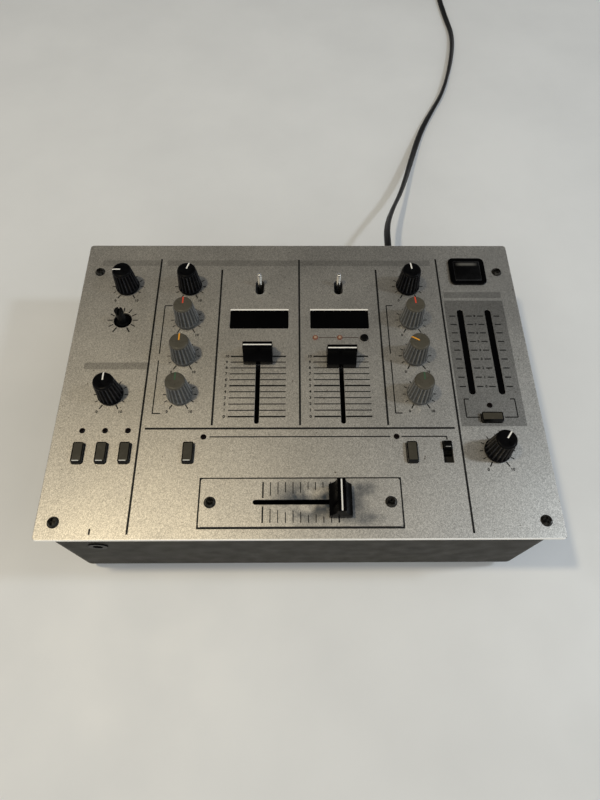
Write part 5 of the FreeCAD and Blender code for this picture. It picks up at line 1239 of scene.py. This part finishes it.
# Keys: six dark grey rubber keys with rounded corners and a sloped front, and one small round button.
# They stand on the stems of the key switches. Four of them have a painted highlight along the front edge.
KEYS = (
    "monitor_key_left",
    "monitor_key_middle",
    "monitor_key_right",
    "ch1_start_key",
    "ch2_start_key",
    "meter_select_key",
)
KEY_SHOULDER = (91.4, 91.52)
KEY_LIP = 1.2
KEY_RIM = 0.7
KEY_EDGE = 2.7
KEY_HIGHLIGHT_SIZE = (0.62, 0.5)
HIGHLIT_KEYS = KEYS[:4]
KEY_PAINTED_SHADE = (0.002, 0.002, 0.002)
KEY_PAINTED_HIGHLIGHT = (0.6, 0.6, 0.57)
KEY_ROUNDING = 0.8
KEY_STEPS = 4
BUTTON_ROUNDING = 0.35

key_rubber = finish(
    "key_rubber", (0.05, 0.046, 0.036), (0.06, 0.055, 0.044), (0.2, 0.3), 0.5, 0.012, blotch=8.0, gloss=0.15
)
button_black = finish(
    "button_black", (0.003, 0.003, 0.003), (0.005, 0.005, 0.005), (0.25, 0.4), 0.4, 0.02, 0.0, 5.0, 0.06
)
key_tree = key_rubber.node_tree
_, key_place = axes(key_tree)
# Painted shade: the keys' sides below the shoulder and a rim round each top face are laid nearly black.
tint(key_rubber, fading(key_tree, key_place["Z"], *KEY_SHOULDER), KEY_PAINTED_SHADE)
key_faces, key_highlights = [], []
for name in KEYS:
    low, high = extent(name)
    x = (low[0] + high[0]) / 2
    width = high[0] - low[0]
    front = low[1] + KEY_EDGE
    rear = high[1] - KEY_LIP - KEY_RIM
    key_faces.append((x, (front + rear) / 2, width - 2 * KEY_RIM, rear - front))
    if name in HIGHLIT_KEYS:
        key_highlights.append((x - KEY_RIM / 2, front, width * KEY_HIGHLIGHT_SIZE[0], KEY_HIGHLIGHT_SIZE[1]))
shaded_rim = calculate(key_tree, "SUBTRACT", 1.0, inside_any(key_tree, key_faces))
tint(key_rubber, shaded_rim, KEY_PAINTED_SHADE)
# Painted highlight: a pale strip along the front edge of four keys.
tint(key_rubber, inside_any(key_tree, key_highlights), KEY_PAINTED_HIGHLIGHT)
for name in KEYS:
    fit_softened(f"{name}_rubber", name, KEY_ROUNDING, key_rubber, name, "key_grey", steps=KEY_STEPS)
button = "tempo_mode_button"
fit_softened(f"{button}_cap", button, BUTTON_ROUNDING, button_black, button, "button_dark")

# Power key: a glossy black key in a raised, glossy black bezel, both moulded plastic.
# The bezel is seated in the panel. A pale streak along the key's rear is a painted reflection.
POWER_REFLECTION_TONE = (0.1, 0.098, 0.092)
REFLECTION_INSET = 2.9
REFLECTION_DEPTH = (0.5, 1.9)
REFLECTION_WIDTH = (4.5, 8.6)
BEZEL_ROUNDING = 0.8
POWER_ROUNDING = 0.7

bezel_black = finish(
    "bezel_black", (0.001, 0.001, 0.0012), (0.002, 0.002, 0.0025), (0.12, 0.2), 0.8, 0.004, 0.0, 9.0, 0.1
)
gloss_black = finish(
    "gloss_black", (0.002, 0.002, 0.0022), (0.003, 0.003, 0.0035), (0.14, 0.24), 0.8, 0.004, 0.0, 9.0, 0.4
)
power_tree = gloss_black.node_tree
_, power_place = axes(power_tree)
reflection_row = extent("power_key")[1][1] - REFLECTION_INSET
reflection_depth = fading(power_tree, away_from(power_tree, power_place["Y"], reflection_row), *REFLECTION_DEPTH)
reflection_width = fading(power_tree, away_from(power_tree, power_place["X"], STRIP_COLUMN), *REFLECTION_WIDTH)
# Painted reflection: a soft pale streak along the key's rear.
tint(gloss_black, calculate(power_tree, "MULTIPLY", reflection_depth, reflection_width), POWER_REFLECTION_TONE)
fit_softened("power_bezel_moulding", "power_bezel", BEZEL_ROUNDING, bezel_black, "housing", "power_black")
fit_softened("power_key_cap", "power_key", POWER_ROUNDING, gloss_black, "power_key", "power_black")

# Slide selector: a short black plastic lever in a slot of the panel, with a thin pale line on its top.
# It is the top of the selector switch's slider.
SELECTOR_ROUNDING = 0.35
SELECTOR_LINE = (3.4, 0.5)
SELECTOR_LINE_FORWARD = 1.7
SELECTOR_LINE_LEVELS = (-0.3, 0.02)

pale_line_and_highlight = finish("pale_line_and_highlight", (0.3, 0.3, 0.29), (0.2, 0.2, 0.2), (0.4, 0.5), 0.3, 0.005, blotch=1.0)
slider = "selector_slider"
low, high = extent(slider)
x, y, _ = (low + high) / 2
# The pale line is partly a worn white line and partly a painted highlight, set forward to the lever's lit
# front edge.
line_table = [(x, y - SELECTOR_LINE_FORWARD, *SELECTOR_LINE, 0)]
selector_line = slabs(line_table, *(high[2] + np.array(SELECTOR_LINE_LEVELS)))
fit_softened("selector_lever", slider, SELECTOR_ROUNDING, button_black, slider, "button_dark")
fit_grid("selector_line", selector_line, pale_line_and_highlight, slider)

# Windows: flat panes of smoked clear plastic, seated in the panel's openings.
# They cover the two displays and the two meters, which are off.
SMOKE_TONE = (0.0012, 0.0012, 0.0014)
SMOKE_SHADE = (0.002, 0.002, 0.0022)

window_smoke = finish(
    "smoked_window", SMOKE_TONE, SMOKE_SHADE, (0.1, 0.18), 2.0, 0.003, blotch=20.0, gloss=0.06
)
dress(window_smoke, "display_windows", "meter_windows")

# Lamps: small domes of dark moulded plastic, in holes of the panel.
# Two amber ones with a red rim stand beside the round button.
AMBER_LAMPS = ((11.2, 29.0), (28.5, 29.0))
LENS_PROFILE = ((1.0, 89.2), (1.0, 89.93), (0.8, 90.02), (0.4, 90.08))
RIM_PROFILE = ((1.02, 89.0), (1.92, 89.0), (1.92, 89.45), (1.7, 89.85), (1.2, 90.0), (1.02, 89.95))

lamp_dark = finish(
    "dark_lens", (0.003, 0.002, 0.002), (0.005, 0.003, 0.003), (0.12, 0.22), 0.6, 0.006, 0.0, 2.0, 0.08
)
lamp_amber = finish("amber_lens", (0.33, 0.24, 0.17), (0.38, 0.28, 0.2), (0.2, 0.35), 0.5, 0.006, blotch=1.5)
lamp_rim = finish("red_rim", (0.17, 0.06, 0.035), (0.21, 0.08, 0.05), (0.3, 0.45), 0.4, 0.006, blotch=1.5)
dress(lamp_dark, "indicator_lamps")
lens = turned(LENS_PROFILE, RING_COLUMNS)
lenses = np.stack([set_down(lens, x, y, 0) for x, y in AMBER_LAMPS])
fit_grid("amber_lenses", lenses, lamp_amber, "housing")
rim = turned(RIM_PROFILE, RING_COLUMNS)
rims = np.stack([set_down(rim, x, y, 0) for x, y in AMBER_LAMPS])
fit_grid("lamp_rims", rims, lamp_rim, "housing", looped=True)
